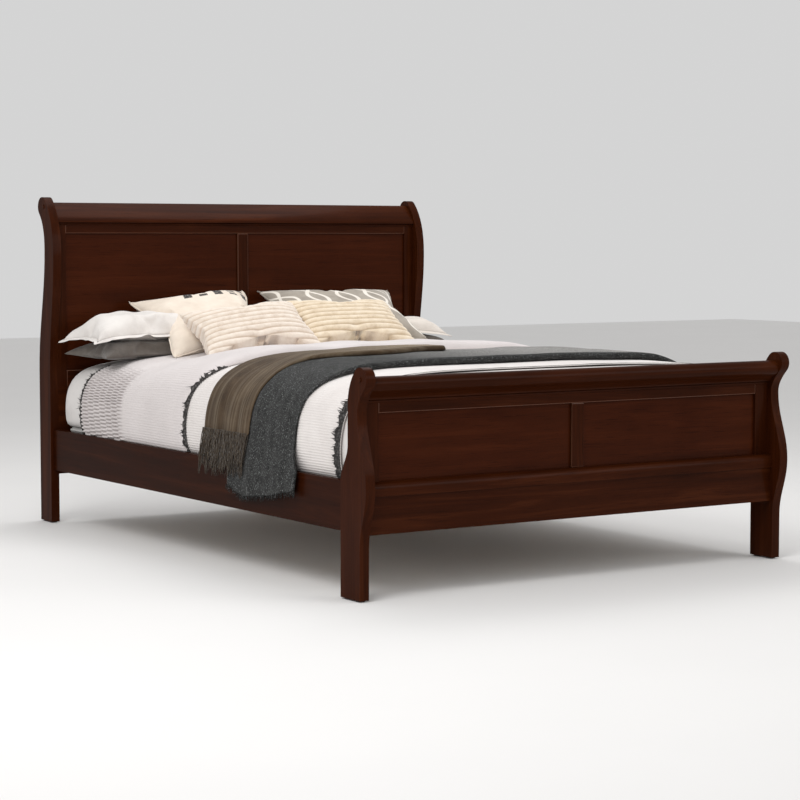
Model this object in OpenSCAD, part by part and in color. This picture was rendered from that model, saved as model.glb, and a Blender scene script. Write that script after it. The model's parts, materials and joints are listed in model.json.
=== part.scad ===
// Sleigh bed, queen size, dressed: S-shaped posts, rolled crown and cap rails,
// two-panel headboard and footboard, side rails on hook plates, slats with centre
// legs, foundation, mattress, bedding and cushions. Millimetres, +Z up.
// The origin is on the floor under the middle of the bed. The headboard is at +Y.

/* [Mattress] */
// Width of the mattress and the foundation
mattress_w = 1514; // [960:2:1930]
// Length of the mattress and the foundation
mattress_l = 2032; // [1880:2:2440]
// Thickness of the mattress
mattress_t = 270; // [150:2:320]
// Thickness of the foundation under the mattress
foundation_t = 114; // [60:2:230]
// Corner radius of the mattress in plan
mattress_r = 70; // [20:5:120]
// Clear gap between the mattress and each side rail
side_gap = 19; // [18:1:40]
// Clear gap between the mattress and the footboard
foot_gap = 28; // [22:1:60]
// Clear gap between the mattress and the headboard
head_gap = 16; // [12:1:60]

/* [Posts] */
// Thickness of every post, side to side
post_t = 32; // [26:1:50]
// Height of the headboard posts
head_h = 1194; // [980:2:1440]
// Height of the footboard posts
foot_h = 677; // [600:1:820]
// Depth of a headboard leg, front to back
head_leg_d = 94; // [80:1:130]
// Depth of a footboard leg, front to back
foot_leg_d = 104; // [80:1:130]
// Radius of the scroll at the top of every post
roll_r = 35; // [26:1:42]
// How far the footboard post swells outwards over its leg
foot_belly = 34; // [10:1:44]
// Height of the swell on the footboard post
foot_belly_z = 325; // [290:1:360]
// Radius of the button in the side of each scroll
button_r = 8; // [5:1:12]

/* [Boards] */
// Thickness of the stiles, mullions and frame rails
frame_t = 24; // [18:1:30]
// Thickness of the flat panels
panel_t = 8; // [6:1:12]
// How far a panel is set back from the face of its frame
panel_set = 9; // [5:1:12]
// How far a panel runs into its grooves
tongue = 8; // [5:1:12]
// Width of the headboard's side stiles
head_stile_w = 36; // [30:1:80]
// Width of the footboard's side stiles
foot_stile_w = 52; // [30:1:80]
// Width of the upright between the two panels
mullion_w = 46; // [30:1:80]
// Height of the crown rail on the headboard
crown_h = 73; // [66:1:90]
// Height of the cap rail on the footboard
cap_h = 69; // [64:1:90]
// Radius of the roll along the crown and cap rails
rail_roll_r = 24; // [18:1:28]
// Height of the frame rail under the crown and the cap
top_rail_h = 40; // [30:1:80]
// Height of the moulding under the footboard panels
base_moulding_h = 42; // [30:1:60]
// Height of the board under that moulding
apron_h = 111; // [80:1:160]
// Thickness of the apron and the headboard's lower board
board_t = 22; // [16:1:28]
// Height of the frame rail under the headboard panels
bottom_rail_h = 60; // [40:1:90]
// Radius of the bead under the crown and the cap
bead_r = 5; // [3:1:7]

/* [Side rails] */
// Thickness of a side rail
rail_t = 22; // [18:1:30]
// Height of a side rail
rail_h = 148; // [120:1:200]
// Height of the side rail above the floor
rail_z = 195; // [150:1:230]
// How far a side rail is set in from the outside of the posts
rail_inset = 12; // [11:1:20]
// Height of the ledger under the slats
ledger_h = 25; // [20:1:40]
// Thickness of the ledger
ledger_t = 22; // [18:1:40]
// Number of slats
slat_count = 6; // [4:1:13]
// Width of a slat
slat_w = 70; // [50:1:110]
// Thickness of a slat
slat_t = 20; // [16:1:30]
// Side of a centre leg
leg_w = 45; // [35:1:60]
// Radius of a levelling foot
foot_r = 18; // [14:1:22]
// Radius of the levelling foot's stud
stud_r = 4; // [3:0.5:6]
// How far a levelling foot screws out
level_travel = 15; // [5:1:25]

/* [Bedding] */
// Thickness of the coverlet
coverlet_t = 5; // [3:0.5:6]
// Thickness of the duvet where it lies flat
duvet_t = 14; // [12:1:60]
// Length of the bed that the duvet covers, from the head end
duvet_l = 1084; // [700:2:1500]
// Thickness of the throws
throw_t = 5; // [3:0.5:5]
// Width of the brown throw, along the bed
brown_w = 295; // [150:5:500]
// Width of the grey throw, along the bed
grey_w = 420; // [150:5:600]
// Height of the fringe's lower end above the floor
fringe_z = 296; // [240:2:340]
// Height of the grey throw's lower end above the floor
grey_z = 256; // [200:2:330]

/* [Hidden] */
$fn = 48;
air = 0.5;                    // clearance between loose things that touch in life
slack = 0.5;                  // clearance of a panel in its groove, per side
glide_h = 4;                  // plastic glide under a post
glide_r = 14;
seat_h = 8;                   // thickness of a levelling foot's disc
stud_l = 45;
stud_air = 0.1;
dowel_r = 5;
dowel_l = 40;
dowel_in = 14;                // part of a dowel that sits in the post
pin_r = 3;
plate_t = 3;
plate_h = 110;
plate_in = 45;                // part of a hook plate inside its rail
hook_l = 15;
screw_r = 2;
head_r = 4.2;
frame_set = 30;               // footboard frame behind the face of its legs
apron_set = 11;
moulding_set = 4;
head_set = 2;                 // headboard frame behind the face of its legs

// Widths
bed_w = mattress_w + 2 * (side_gap + rail_t + rail_inset);
span = bed_w - 2 * post_t;
post_x = bed_w / 2 - post_t;
rail_x = bed_w / 2 - rail_inset - rail_t;

// Lengths, counted from the face of the footboard's legs, then centred
scroll_out = max(2 + roll_r, foot_belly);
mattress_s = frame_set + frame_t + foot_gap;
head_s = mattress_s + mattress_l + head_gap;
back_s = head_s - head_set + head_leg_d;
bed_l = back_s + scroll_out;
y0 = scroll_out - bed_l / 2;
foot_y = y0;
back_y = y0 + back_s;
foot_frame_y = y0 + frame_set;
head_frame_y = y0 + head_s;
mattress_y = y0 + mattress_s;
rail_y0 = y0 + foot_leg_d;
rail_y1 = back_y - head_leg_d;

// Heights
rail_top = rail_z + rail_h;
slat_z = rail_z + 2 + ledger_h;
base_z = slat_z + slat_t;
mattress_z = base_z + foundation_t;
mattress_top = mattress_z + mattress_t;
coverlet_top = mattress_top + air + coverlet_t;
duvet_top = coverlet_top + air + duvet_t;
skirt_z = rail_top - 43;
apron_z = rail_z - 5;
moulding_z = apron_z + apron_h;
foot_panel_z = moulding_z + base_moulding_h;
cap_z = foot_h - 27 - cap_h;
crown_z = head_h - 19 - crown_h;
head_panel_z = rail_top + 217;
lower_z = apron_z - 10;

// ---------- curves ----------

// Points that swing smoothly from a to b, leaving and arriving upright
function swing(a, b, n = 10) =
  [for (i = [0:n]) [a[0] + (b[0] - a[0]) * (1 - cos(180 * i / n)) / 2, a[1] + (b[1] - a[1]) * i / n]];

// Quadratic curve from a to c, pulled towards b
function bow(a, b, c, n = 8) =
  [for (i = [0:n]) let(t = i / n) a * (1 - t) * (1 - t) + b * 2 * t * (1 - t) + c * t * t];

function on_circle(c, r, a) = [c[0] + r * cos(a), c[1] + r * sin(a)];

roll_steps = 20;              // puts a point on the very top and tip of a post's roll

// The scroll: from the outer neck round the roll to the inner neck, each curve meeting
// the next one smoothly. lift is the angle under the roll where the outer neck joins it.
function scroll(c, r, outer, inner, lift = 45) =
  let(a = on_circle(c, r, -lift), b = on_circle(c, r, 135))
  concat(
    bow(outer, [outer[0], a[1] - (a[0] - outer[0]) / tan(lift)], a),
    [for (i = [1:roll_steps - 1]) on_circle(c, r, -lift + (135 + lift) * i / roll_steps)],
    bow(b, [inner[0], b[1] - (b[0] - inner[0])], inner)
  );

// Outlines are in [outwards from the face of the leg, height]

foot_roll = [2, foot_h - roll_r];
foot_neck_out = -12;
foot_neck_in = -64;
belly_run = 175;              // height over which a leg swells out to the belly
neck_drop = 127;              // how far the outer neck of a footboard post is below its top
inner_drop = 117;
foot_outline = concat(
  [[-foot_leg_d, glide_h], [0, glide_h]],
  swing([0, foot_belly_z - belly_run], [foot_belly, foot_belly_z]),
  swing([foot_belly, foot_belly_z + 6], [foot_neck_out, foot_h - neck_drop - 7]),
  scroll(foot_roll, roll_r, [foot_neck_out, foot_h - neck_drop], [foot_neck_in, foot_h - inner_drop]),
  swing([foot_neck_in, rail_top + 107], [-foot_leg_d, rail_top])
);

head_roll = [-38, head_h - roll_r];
head_neck_out = -57;
head_neck_in = head_neck_out - 76;
head_swell_z = head_panel_z;  // the post draws back from here up to its neck
head_drop = 184;              // how far the outer neck of a headboard post is below its top
head_inner_drop = 209;
head_outline = concat(
  [[-head_leg_d, glide_h], [0, glide_h]],
  swing([0, head_swell_z], [head_neck_out, head_h - head_drop - 6]),
  scroll(head_roll, roll_r, [head_neck_out, head_h - head_drop], [head_neck_in, head_h - head_inner_drop]),
  swing([head_neck_in, head_h - head_inner_drop - 6], [-head_leg_d, head_swell_z])
);

function foot_side(points) = [for (p = points) [foot_y - p[0], p[1]]];
function head_side(points) = [for (p = points) [back_y + p[0], p[1]]];

// ---------- shared shapes ----------

// Extrudes an outline drawn in [y, z] along X
module along_x(x, w) translate([x, 0, 0]) rotate([90, 0, 90]) linear_extrude(w) children();

// Keeps a shape on the left (-X) side, or mirrors it to the right
module on_side(side) if (side < 0) children(); else mirror([1, 0, 0]) children();

module board(x0, x1, y, t, z0, z1) translate([x0, y, z0]) cube([x1 - x0, t, z1 - z0]);

module rod_x(x, y, z, r, l) translate([x, y, z]) rotate([0, 90, 0]) cylinder(r = r, h = l);

module rounded_block(w, y, l, z, h, r) {
  translate([-w / 2, y + r, z]) cube([w, l - 2 * r, h]);
  translate([-w / 2 + r, y, z]) cube([w - 2 * r, l, h]);
  for (x = [-w / 2 + r, w / 2 - r], q = [y + r, y + l - r])
    translate([x, q, z]) cylinder(r = r, h = h);
}

// ---------- joinery ----------

head_mid_y = head_frame_y + frame_t / 2;
foot_mid_y = foot_frame_y + frame_t / 2;
dowel_places = [
  [back_y - 60, crown_z + 34],
  [head_mid_y, crown_z - 70], [head_mid_y, (crown_z + head_panel_z) / 2], [head_mid_y, head_panel_z + 20],
  [head_frame_y + board_t / 2, rail_top + 70], [head_frame_y + board_t / 2, lower_z + 14],
  [foot_y + 37, cap_z + 24],
  [foot_mid_y, cap_z - 22], [foot_mid_y, foot_panel_z + 40],
  [foot_y + moulding_set + 22, moulding_z + base_moulding_h / 2],
  [foot_y + apron_set + board_t / 2, apron_z + apron_h / 2]
];

// The left side's dowels, as solids or as the holes for them
module dowels_left() for (p = dowel_places)
  rod_x(-post_x - dowel_in, p[0], p[1], dowel_r, dowel_l);

module dowels() {
  dowels_left();
  mirror([1, 0, 0]) dowels_left();
}

rail_mid = rail_z + rail_h / 2;
plate_x = -post_x - 8;        // centre of the left hook plates
pin_places = [
  for (z = [rail_mid - 30, rail_mid + 30]) each [[rail_y0 - 8, z], [rail_y1 + 8, z]]
];
hook_gap = 5;                 // half the gap between a plate's two hooks

// The room that the left plates need, in a post or in a rail
module plate_room(extra) {
  for (y = [rail_y0 - hook_l, rail_y1 - plate_in])
    translate([plate_x - plate_t / 2 - extra, y - extra, rail_mid - plate_h / 2 - extra])
      cube([plate_t + 2 * extra, plate_in + hook_l + 2 * extra, plate_h + 2 * extra]);
}

module plates_left() difference() {
  plate_room(0);
  for (p = pin_places) {
    rod_x(plate_x - plate_t, p[0], p[1], pin_r + 0.3, plate_t * 2);
    translate([plate_x - plate_t, p[0] - pin_r - 0.3, p[1] - 26])
      cube([plate_t * 2, 2 * pin_r + 0.6, 26]);
  }
  for (y = [rail_y0 - hook_l - 1, rail_y1])
    translate([plate_x - plate_t, y, rail_mid - hook_gap]) cube([plate_t * 2, hook_l + 1, 2 * hook_gap]);
}

module pins_left() for (p = pin_places) rod_x(-post_x - 18, p[0], p[1], pin_r, 18);

ledger_screw_y = [for (i = [0:5]) rail_y0 + (rail_y1 - rail_y0) * (i + 0.5) / 6];
screw_depth = 12;             // how far a screw runs into the wood behind

module ledger_screws_left() for (y = ledger_screw_y)
  rod_x(-rail_x - screw_depth, y, slat_z - ledger_h / 2, screw_r, ledger_t + screw_depth - 2);

slat_y = [for (i = [0:slat_count - 1]) mattress_y + mattress_l * (i + 0.5) / slat_count];
leg_y = [for (k = [3:-1:1]) slat_y[slat_count - k]];   // the beam carries the slats ahead of the legs
beam_h = 40;
beam_z = slat_z - beam_h;
slat_screw_x = rail_x - ledger_t / 2;
bolt_r = 3;
bolt_head_r = 7;
bolt_head_h = 4;
bolt_in = 45;                 // part of a leg bolt that sits in the leg

module screw_down(x, y, top, l, r, cap_r, cap_h) {
  translate([x, y, top - l]) cylinder(r = r, h = l);
  translate([x, y, top - cap_h]) cylinder(r = cap_r, h = cap_h);
}

module slat_screws_all() for (x = [-slat_screw_x, slat_screw_x], y = slat_y)
  screw_down(x, y, base_z, slat_t + screw_depth, screw_r, head_r, 2);

// The slats without a leg are screwed to the beam
module beam_screws_all() for (i = [0:slat_count - 4])
  screw_down(0, slat_y[i], base_z, slat_t + screw_depth, screw_r, head_r, 2);

module leg_bolts_all() for (y = leg_y)
  screw_down(0, y, base_z, slat_t + beam_h + bolt_in, bolt_r, bolt_head_r, bolt_head_h);

// ---------- posts ----------

module button_shanks_left(r) {
  rod_x(-bed_w / 2, foot_y - foot_roll[0], foot_roll[1], r, 12);
  rod_x(-bed_w / 2, back_y + head_roll[0] - 12, head_roll[1], r, 12);
}

module post_cuts() {
  dowels_left();
  plate_room(0.5);
  pins_left();
  button_shanks_left(button_r - 3);
}

module foot_post(side) on_side(side) difference() {
  along_x(-bed_w / 2, post_t) polygon(foot_side(foot_outline));
  post_cuts();
}

module head_post(side) on_side(side) difference() {
  along_x(-bed_w / 2, post_t) polygon(head_side(head_outline));
  post_cuts();
}

module head_post_left() color("#3b1812") head_post(-1);
module head_post_right() color("#3b1812") head_post(1);
module foot_post_left() color("#3b1812") foot_post(-1);
module foot_post_right() color("#3b1812") foot_post(1);

module buttons_left() {
  button_shanks_left(button_r - 3);
  translate([-2.5, 0, 0]) intersection() {
    button_shanks_left(button_r);
    translate([-bed_w / 2, foot_y - 100, 0]) cube([2.5, bed_l + 200, head_h]);
  }
}

module post_buttons() color("#4a2018") {
  buttons_left();
  mirror([1, 0, 0]) buttons_left();
}

glide_y = [foot_y + 22, foot_y + foot_leg_d - 22, rail_y1 + 22, back_y - 22];

module post_glides() color("#2a2a2a") for (x = [-1, 1] * (bed_w - post_t) / 2, y = glide_y)
  translate([x, y, 0]) cylinder(r = glide_r, h = glide_h);

module frame_dowels() color("#b98f5e") dowels();

// ---------- headboard ----------

head_frame_x = post_x - head_stile_w;
head_top_z = crown_z - top_rail_h;
head_low_z = head_panel_z - bottom_rail_h;

// The grooves that a board's two panels need, from the panels' own sizes
module panel_pair(x, y, z0, z1, t, reach) for (side = [-1, 1])
  translate([side > 0 ? mullion_w / 2 - reach : -x - reach, y, z0 - reach])
    cube([x - mullion_w / 2 + 2 * reach, t, z1 - z0 + 2 * reach]);

module head_grooves() panel_pair(head_frame_x, head_frame_y + panel_set, head_panel_z, head_top_z, panel_t,
                                 tongue + slack);
module foot_grooves() panel_pair(foot_frame_x, foot_frame_y + panel_set, foot_panel_z, foot_top_z, panel_t,
                                 tongue + slack);

module panel(side, x, y, z0, z1) intersection() {
  panel_pair(x, y, z0, z1, panel_t, tongue);
  translate([side > 0 ? 0 : -bed_w, y - 50, 0]) cube([bed_w, 100, head_h]);
}

crown_roll = [head_roll[0], crown_z + crown_h - rail_roll_r];

module head_crown_rail() color("#3b1812") difference() {
  along_x(-post_x, span)
    polygon(head_side(scroll(crown_roll, rail_roll_r, [-60, crown_z], [-108, crown_z], 60)));
  dowels();
}

// A half-round bead on the face at y, below z
module bead(y, z) difference() {
  rod_x(-post_x, y, z - bead_r, bead_r, span);
  translate([-post_x - 1, y, z - 3 * bead_r]) cube([span + 2, 3 * bead_r, 4 * bead_r]);
}

module head_bead() color("#3b1812") bead(head_frame_y, crown_z);

module head_top_rail() color("#3b1812") difference() {
  board(-head_frame_x, head_frame_x, head_frame_y, frame_t, head_top_z, crown_z);
  head_grooves();
}

module head_bottom_rail() color("#3b1812") difference() {
  board(-head_frame_x, head_frame_x, head_frame_y, frame_t, head_low_z, head_panel_z);
  head_grooves();
}

module head_lower_board() color("#35150f") difference() {
  board(-post_x, post_x, head_frame_y, board_t, lower_z, head_low_z);
  dowels();
}

module stile(side, x, y, z0, z1) color("#3b1812") difference() {
  board(side > 0 ? x : -post_x, side > 0 ? post_x : -x, y, frame_t, z0, z1);
  dowels();
  children();
}

module head_stile_left() stile(-1, head_frame_x, head_frame_y, head_low_z, crown_z) head_grooves();
module head_stile_right() stile(1, head_frame_x, head_frame_y, head_low_z, crown_z) head_grooves();

module head_mullion() color("#3b1812") difference() {
  board(-mullion_w / 2, mullion_w / 2, head_frame_y, frame_t, head_panel_z, head_top_z);
  head_grooves();
}

module head_panel(side) panel(side, head_frame_x, head_frame_y + panel_set, head_panel_z, head_top_z);
module head_panel_left() color("#4a1d15") head_panel(-1);
module head_panel_right() color("#4a1d15") head_panel(1);

// ---------- footboard ----------

foot_frame_x = post_x - foot_stile_w;
foot_top_z = cap_z - top_rail_h;

cap_roll = [0, cap_z + cap_h - rail_roll_r];

module foot_cap_rail() color("#3b1812") difference() {
  along_x(-post_x, span)
    polygon(foot_side(scroll(cap_roll, rail_roll_r, [-18, cap_z], [-56, cap_z], 60)));
  dowels();
}

module foot_bead() color("#3b1812") bead(foot_frame_y, cap_z);

module foot_top_rail() color("#3b1812") difference() {
  board(-foot_frame_x, foot_frame_x, foot_frame_y, frame_t, foot_top_z, cap_z);
  foot_grooves();
}

module foot_base_moulding() color("#3b1812") difference() {
  along_x(-post_x, span) polygon(concat(
    [[foot_y + moulding_set, moulding_z], [foot_frame_y + frame_t, moulding_z],
     [foot_frame_y + frame_t, foot_panel_z]],
    bow([foot_frame_y, foot_panel_z], [foot_y + moulding_set, foot_panel_z],
        [foot_y + moulding_set, moulding_z + base_moulding_h * 0.4])
  ));
  foot_grooves();
  dowels();
}

module foot_apron() color("#35150f") difference() {
  board(-post_x, post_x, foot_y + apron_set, board_t, apron_z, moulding_z);
  dowels();
}

module foot_stile_left() stile(-1, foot_frame_x, foot_frame_y, foot_panel_z, cap_z) foot_grooves();
module foot_stile_right() stile(1, foot_frame_x, foot_frame_y, foot_panel_z, cap_z) foot_grooves();

module foot_mullion() color("#3b1812") difference() {
  board(-mullion_w / 2, mullion_w / 2, foot_frame_y, frame_t, foot_panel_z, foot_top_z);
  foot_grooves();
}

module foot_panel(side) panel(side, foot_frame_x, foot_frame_y + panel_set, foot_panel_z, foot_top_z);
module foot_panel_left() color("#4a1d15") foot_panel(-1);
module foot_panel_right() color("#4a1d15") foot_panel(1);

// ---------- side rails and the bed's floor ----------

module side_rail(side) on_side(side) difference() {
  board(-rail_x - rail_t, -rail_x, rail_y0, rail_y1 - rail_y0, rail_z, rail_top);
  plate_room(0.2);
  ledger_screws_left();
}

module side_rail_left() color("#3b1812") side_rail(-1);
module side_rail_right() color("#3b1812") side_rail(1);

module ledger(side) on_side(side) difference() {
  board(-rail_x, -rail_x + ledger_t, rail_y0 + 60, rail_y1 - rail_y0 - 120, slat_z - ledger_h, slat_z);
  ledger_screws_left();
  slat_screws_all();
}

module ledger_left() color("#9c7048") ledger(-1);
module ledger_right() color("#9c7048") ledger(1);

module hook_plates() color("#8f9296") {
  plates_left();
  mirror([1, 0, 0]) plates_left();
}

module lock_pins() color("#8f9296") {
  pins_left();
  mirror([1, 0, 0]) pins_left();
}

module ledger_screws() color("#b9a25a") {
  ledger_screws_left();
  mirror([1, 0, 0]) ledger_screws_left();
}

module slats() color("#c8a06c") difference() {
  for (y = slat_y) board(-rail_x + 2, rail_x - 2, y - slat_w / 2, slat_w, slat_z, base_z);
  slat_screws_all();
  beam_screws_all();
  leg_bolts_all();
}

module slat_screws() color("#b9a25a") {
  slat_screws_all();
  beam_screws_all();
}

module centre_beam() color("#c8a06c") difference() {
  board(-leg_w / 2, leg_w / 2, slat_y[0] - slat_w / 2, leg_y[2] - slat_y[0] + slat_w, beam_z, slat_z);
  beam_screws_all();
  leg_bolts_all();
}

module centre_leg(k) color("#c8a06c") difference() {
  translate([-leg_w / 2, leg_y[k] - leg_w / 2, seat_h + 0.2]) cube([leg_w, leg_w, beam_z - seat_h - 0.2]);
  leg_bolts_all();
  translate([0, leg_y[k], 0]) cylinder(r = stud_r + stud_air, h = seat_h + stud_l + level_travel);
}

module centre_leg_1() centre_leg(0);
module centre_leg_2() centre_leg(1);
module centre_leg_3() centre_leg(2);

module leg_bolts() color("#8f9296") leg_bolts_all();

module levelling_foot(k) color("#2a2a2a") translate([0, leg_y[k], 0]) {
  cylinder(r = foot_r, h = seat_h);
  cylinder(r = stud_r, h = seat_h + stud_l);
}

module levelling_foot_1() levelling_foot(0);
module levelling_foot_2() levelling_foot(1);
module levelling_foot_3() levelling_foot(2);

module foundation() color("#d8d4cc")
  rounded_block(mattress_w, mattress_y, mattress_l, base_z, foundation_t, mattress_r);

module mattress() color("#f1efea")
  rounded_block(mattress_w, mattress_y, mattress_l, mattress_z, mattress_t, mattress_r);

// ---------- bedding ----------

duvet_side_t = 6;
coverlet_w = mattress_w + 2 * (air + coverlet_t);
duvet_w = coverlet_w + 2 * (air + duvet_side_t);
head_end = mattress_y + mattress_l;
foot_end = mattress_y - air - coverlet_t;

module coverlet() color("#ece7e3") difference() {
  rounded_block(coverlet_w, foot_end, head_end - foot_end, skirt_z, coverlet_top - skirt_z,
                mattress_r + air + coverlet_t);
  rounded_block(mattress_w + 2 * air, mattress_y - air, mattress_l + 200, skirt_z - 1,
                mattress_top + air - skirt_z + 1, mattress_r + air);
}

module duvet() color("#dcd8d8") difference() {
  translate([-duvet_w / 2, head_end - duvet_l, skirt_z]) cube([duvet_w, duvet_l, duvet_top - skirt_z]);
  translate([-coverlet_w / 2 - air, head_end - duvet_l - 1, skirt_z - 1])
    cube([coverlet_w + 2 * air, duvet_l + 2, coverlet_top + air - skirt_z + 1]);
}

// The left side of a throw that is the given number of layers out, from its top edge
// to the level of the rail's top, in [x, z]
rail_out = rail_x + rail_t;
function layer(n) = air + (throw_t + air) * n;
function drape(n) = [
  [-coverlet_w / 2 - layer(n), coverlet_top + layer(n)],
  [-coverlet_w / 2 - layer(n), coverlet_top - 85],
  [-rail_out - layer(n), rail_top + 10]
];
function part_way(p, q, z) = [p[0] + (q[0] - p[0]) * (z - p[1]) / (q[1] - p[1]), z];

throw_y = foot_y + 372;       // the grey throw's edge nearest the footboard
brown_y = throw_y + 293;
grey_drop = 135;              // how far the grey throw hangs on the far side
hem_z = rail_top + 87;         // lower edge of the brown throw
brown_end_x = 40;             // where the brown throw ends on top of the bed

module throw_grey() color("#5a5c60") translate([0, throw_y + grey_w, 0]) rotate([90, 0, 0])
  linear_extrude(grey_w) polygon(concat(
    [[-rail_out - layer(0), grey_z]], [for (i = [2:-1:0]) drape(0)[i]],
    [[coverlet_w / 2 + layer(0), coverlet_top + layer(0)],
     [coverlet_w / 2 + layer(0), coverlet_top - grey_drop]],
    [[coverlet_w / 2 + layer(1) - air, coverlet_top - grey_drop],
     [coverlet_w / 2 + layer(1) - air, coverlet_top + layer(1) - air]],
    [[-coverlet_w / 2 - layer(1) + air, coverlet_top + layer(1) - air],
     [-coverlet_w / 2 - layer(1) + air, coverlet_top - 85],
     [-rail_out - layer(1) + air, rail_top + 10], [-rail_out - layer(1) + air, grey_z]]
  ));

brown_in = part_way(drape(1)[1], drape(1)[2], hem_z);
brown_out = part_way(drape(2)[1] + [air, 0], drape(2)[2] + [air, 0], hem_z);

module throw_brown() color("#6f6353") translate([0, brown_y + brown_w, 0]) rotate([90, 0, 0])
  linear_extrude(brown_w) polygon([
    brown_in, drape(1)[1], drape(1)[0], [brown_end_x, drape(1)[0][1]],
    [brown_end_x, drape(2)[0][1] - air], drape(2)[0] + [air, -air], drape(2)[1] + [air, 0], brown_out
  ]);

module throw_fringe() color("#4d4436") translate([0, brown_y + brown_w, 0]) rotate([90, 0, 0])
  linear_extrude(brown_w) polygon([
    brown_in, drape(1)[2], [drape(1)[2][0], fringe_z],
    [drape(2)[2][0] + air, fringe_z], drape(2)[2] + [air, 0], brown_out
  ]);

// ---------- pillows and cushions ----------

// A plump pad: full size and thin at its edge, full thickness in the middle
module pad(w, l, t, edge = 16, margin = 0.2) hull() {
  cube([w, l, edge], center = true);
  cube([w * (1 - 2 * margin), l * (1 - 2 * margin), t], center = true);
}

cushion_lift = 12;
// how far each one stands in from the side of the mattress, and from the head end
printed_in = 457;
printed_gap = 449;
trellis_in = 472;
trellis_gap = 424;
lumbar_left_in = 492;
lumbar_left_gap = 629;
lumbar_right_in = 572;
lumbar_right_gap = 606;
left_lower_in = 279;
left_upper_in = 269;
right_lower_in = 327;
right_upper_in = 317;
// Places a cushion that stands on the duvet and leans back: its own y runs up the cushion
// and gap is how far its foot is from the head end of the mattress
module leaning(x, gap, turn, lean)
  translate([x, head_end - gap, duvet_top + cushion_lift]) rotate([0, 0, turn])
  rotate([90 - lean, 0, 0]) children();

// Everything in front of the back of a cushion, which presses into what is behind it
module cushion_room(w, l, t) translate([-w / 2 - 14, -60, -t / 2 - 2]) cube([w + 28, l + 120, 500]);

turn = -4;
back_lean = 66;               // from upright
front_lean = 60;
printed_size = [445, 455, 90];
trellis_size = [560, 440, 90];
lumbar_size = [440, 290, 80];

module printed_place() leaning(-mattress_w / 2 + printed_in, printed_gap, turn, back_lean) children();
module trellis_place() leaning(mattress_w / 2 - trellis_in, trellis_gap, turn, back_lean) children();

module cushion_printed() color("#e6dccd") printed_place()
  translate([0, printed_size[1] / 2, 0]) pad(printed_size[0], printed_size[1], printed_size[2]);

module cushion_trellis() color("#b9b2a6") trellis_place()
  translate([0, trellis_size[1] / 2, 0]) pad(trellis_size[0], trellis_size[1], trellis_size[2]);

module lumbar(x, gap) color("#e9dcc3") leaning(x, gap, turn, front_lean)
  translate([0, lumbar_size[1] / 2, 0]) pad(lumbar_size[0], lumbar_size[1], lumbar_size[2]);

module lumbar_left() lumbar(-mattress_w / 2 + lumbar_left_in, lumbar_left_gap);
module lumbar_right() lumbar(mattress_w / 2 - lumbar_right_in, lumbar_right_gap);

pillow_l = 384;
// widths and heights of the sleeping pillows
lower_pillow_w = 600;
lower_pillow_l = pillow_l - 4;
left_pillow_w = 634;
left_pillow_t = 88;
right_pillow_w = 650;
right_pillow_t = 66;
pillow_y = min(head_end - 12, back_y + head_neck_in - air) - pillow_l / 2;
left_lower_t = 42;
right_lower_t = 31;

module pillow(x, z, w, l, t) translate([x, pillow_y, z + t / 2]) pad(w, l, t, 24, 0.15);

module pillow_left_lower() color("#8d8781") difference() {
  pillow(-mattress_w / 2 + left_lower_in, duvet_top + air, lower_pillow_w, lower_pillow_l, left_lower_t);
  printed_place() cushion_room(printed_size[0], printed_size[1], printed_size[2]);
}

module pillow_left() color("#dedad6") difference() {
  pillow(-mattress_w / 2 + left_upper_in, duvet_top + left_lower_t + 2 * air,
         left_pillow_w, pillow_l, left_pillow_t);
  printed_place() cushion_room(printed_size[0], printed_size[1], printed_size[2]);
}

module pillow_right_lower() color("#8d8781") difference() {
  pillow(mattress_w / 2 - right_lower_in, duvet_top + air, lower_pillow_w, lower_pillow_l, right_lower_t);
  trellis_place() cushion_room(trellis_size[0], trellis_size[1], trellis_size[2]);
}

module pillow_right() color("#dedad6") difference() {
  pillow(mattress_w / 2 - right_upper_in, duvet_top + right_lower_t + 2 * air,
         right_pillow_w, pillow_l, right_pillow_t);
  trellis_place() cushion_room(trellis_size[0], trellis_size[1], trellis_size[2]);
}

head_post_left();
head_post_right();
head_crown_rail();
head_bead();
head_top_rail();
head_bottom_rail();
head_lower_board();
head_stile_left();
head_stile_right();
head_mullion();
head_panel_left();
head_panel_right();
foot_post_left();
foot_post_right();
foot_cap_rail();
foot_bead();
foot_top_rail();
foot_base_moulding();
foot_apron();
foot_stile_left();
foot_stile_right();
foot_mullion();
foot_panel_left();
foot_panel_right();
post_buttons();
post_glides();
frame_dowels();
side_rail_left();
side_rail_right();
hook_plates();
lock_pins();
ledger_left();
ledger_right();
ledger_screws();
slats();
slat_screws();
centre_beam();
centre_leg_1();
centre_leg_2();
centre_leg_3();
leg_bolts();
levelling_foot_1();
levelling_foot_2();
levelling_foot_3();
foundation();
mattress();
coverlet();
duvet();
throw_grey();
throw_brown();
throw_fringe();
pillow_left_lower();
pillow_left();
pillow_right_lower();
pillow_right();
cushion_printed();
cushion_trellis();
lumbar_left();
lumbar_right();
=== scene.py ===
import bpy
import bmesh
import json
import math
import random
import numpy as np
from mathutils import Vector, Matrix

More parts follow.
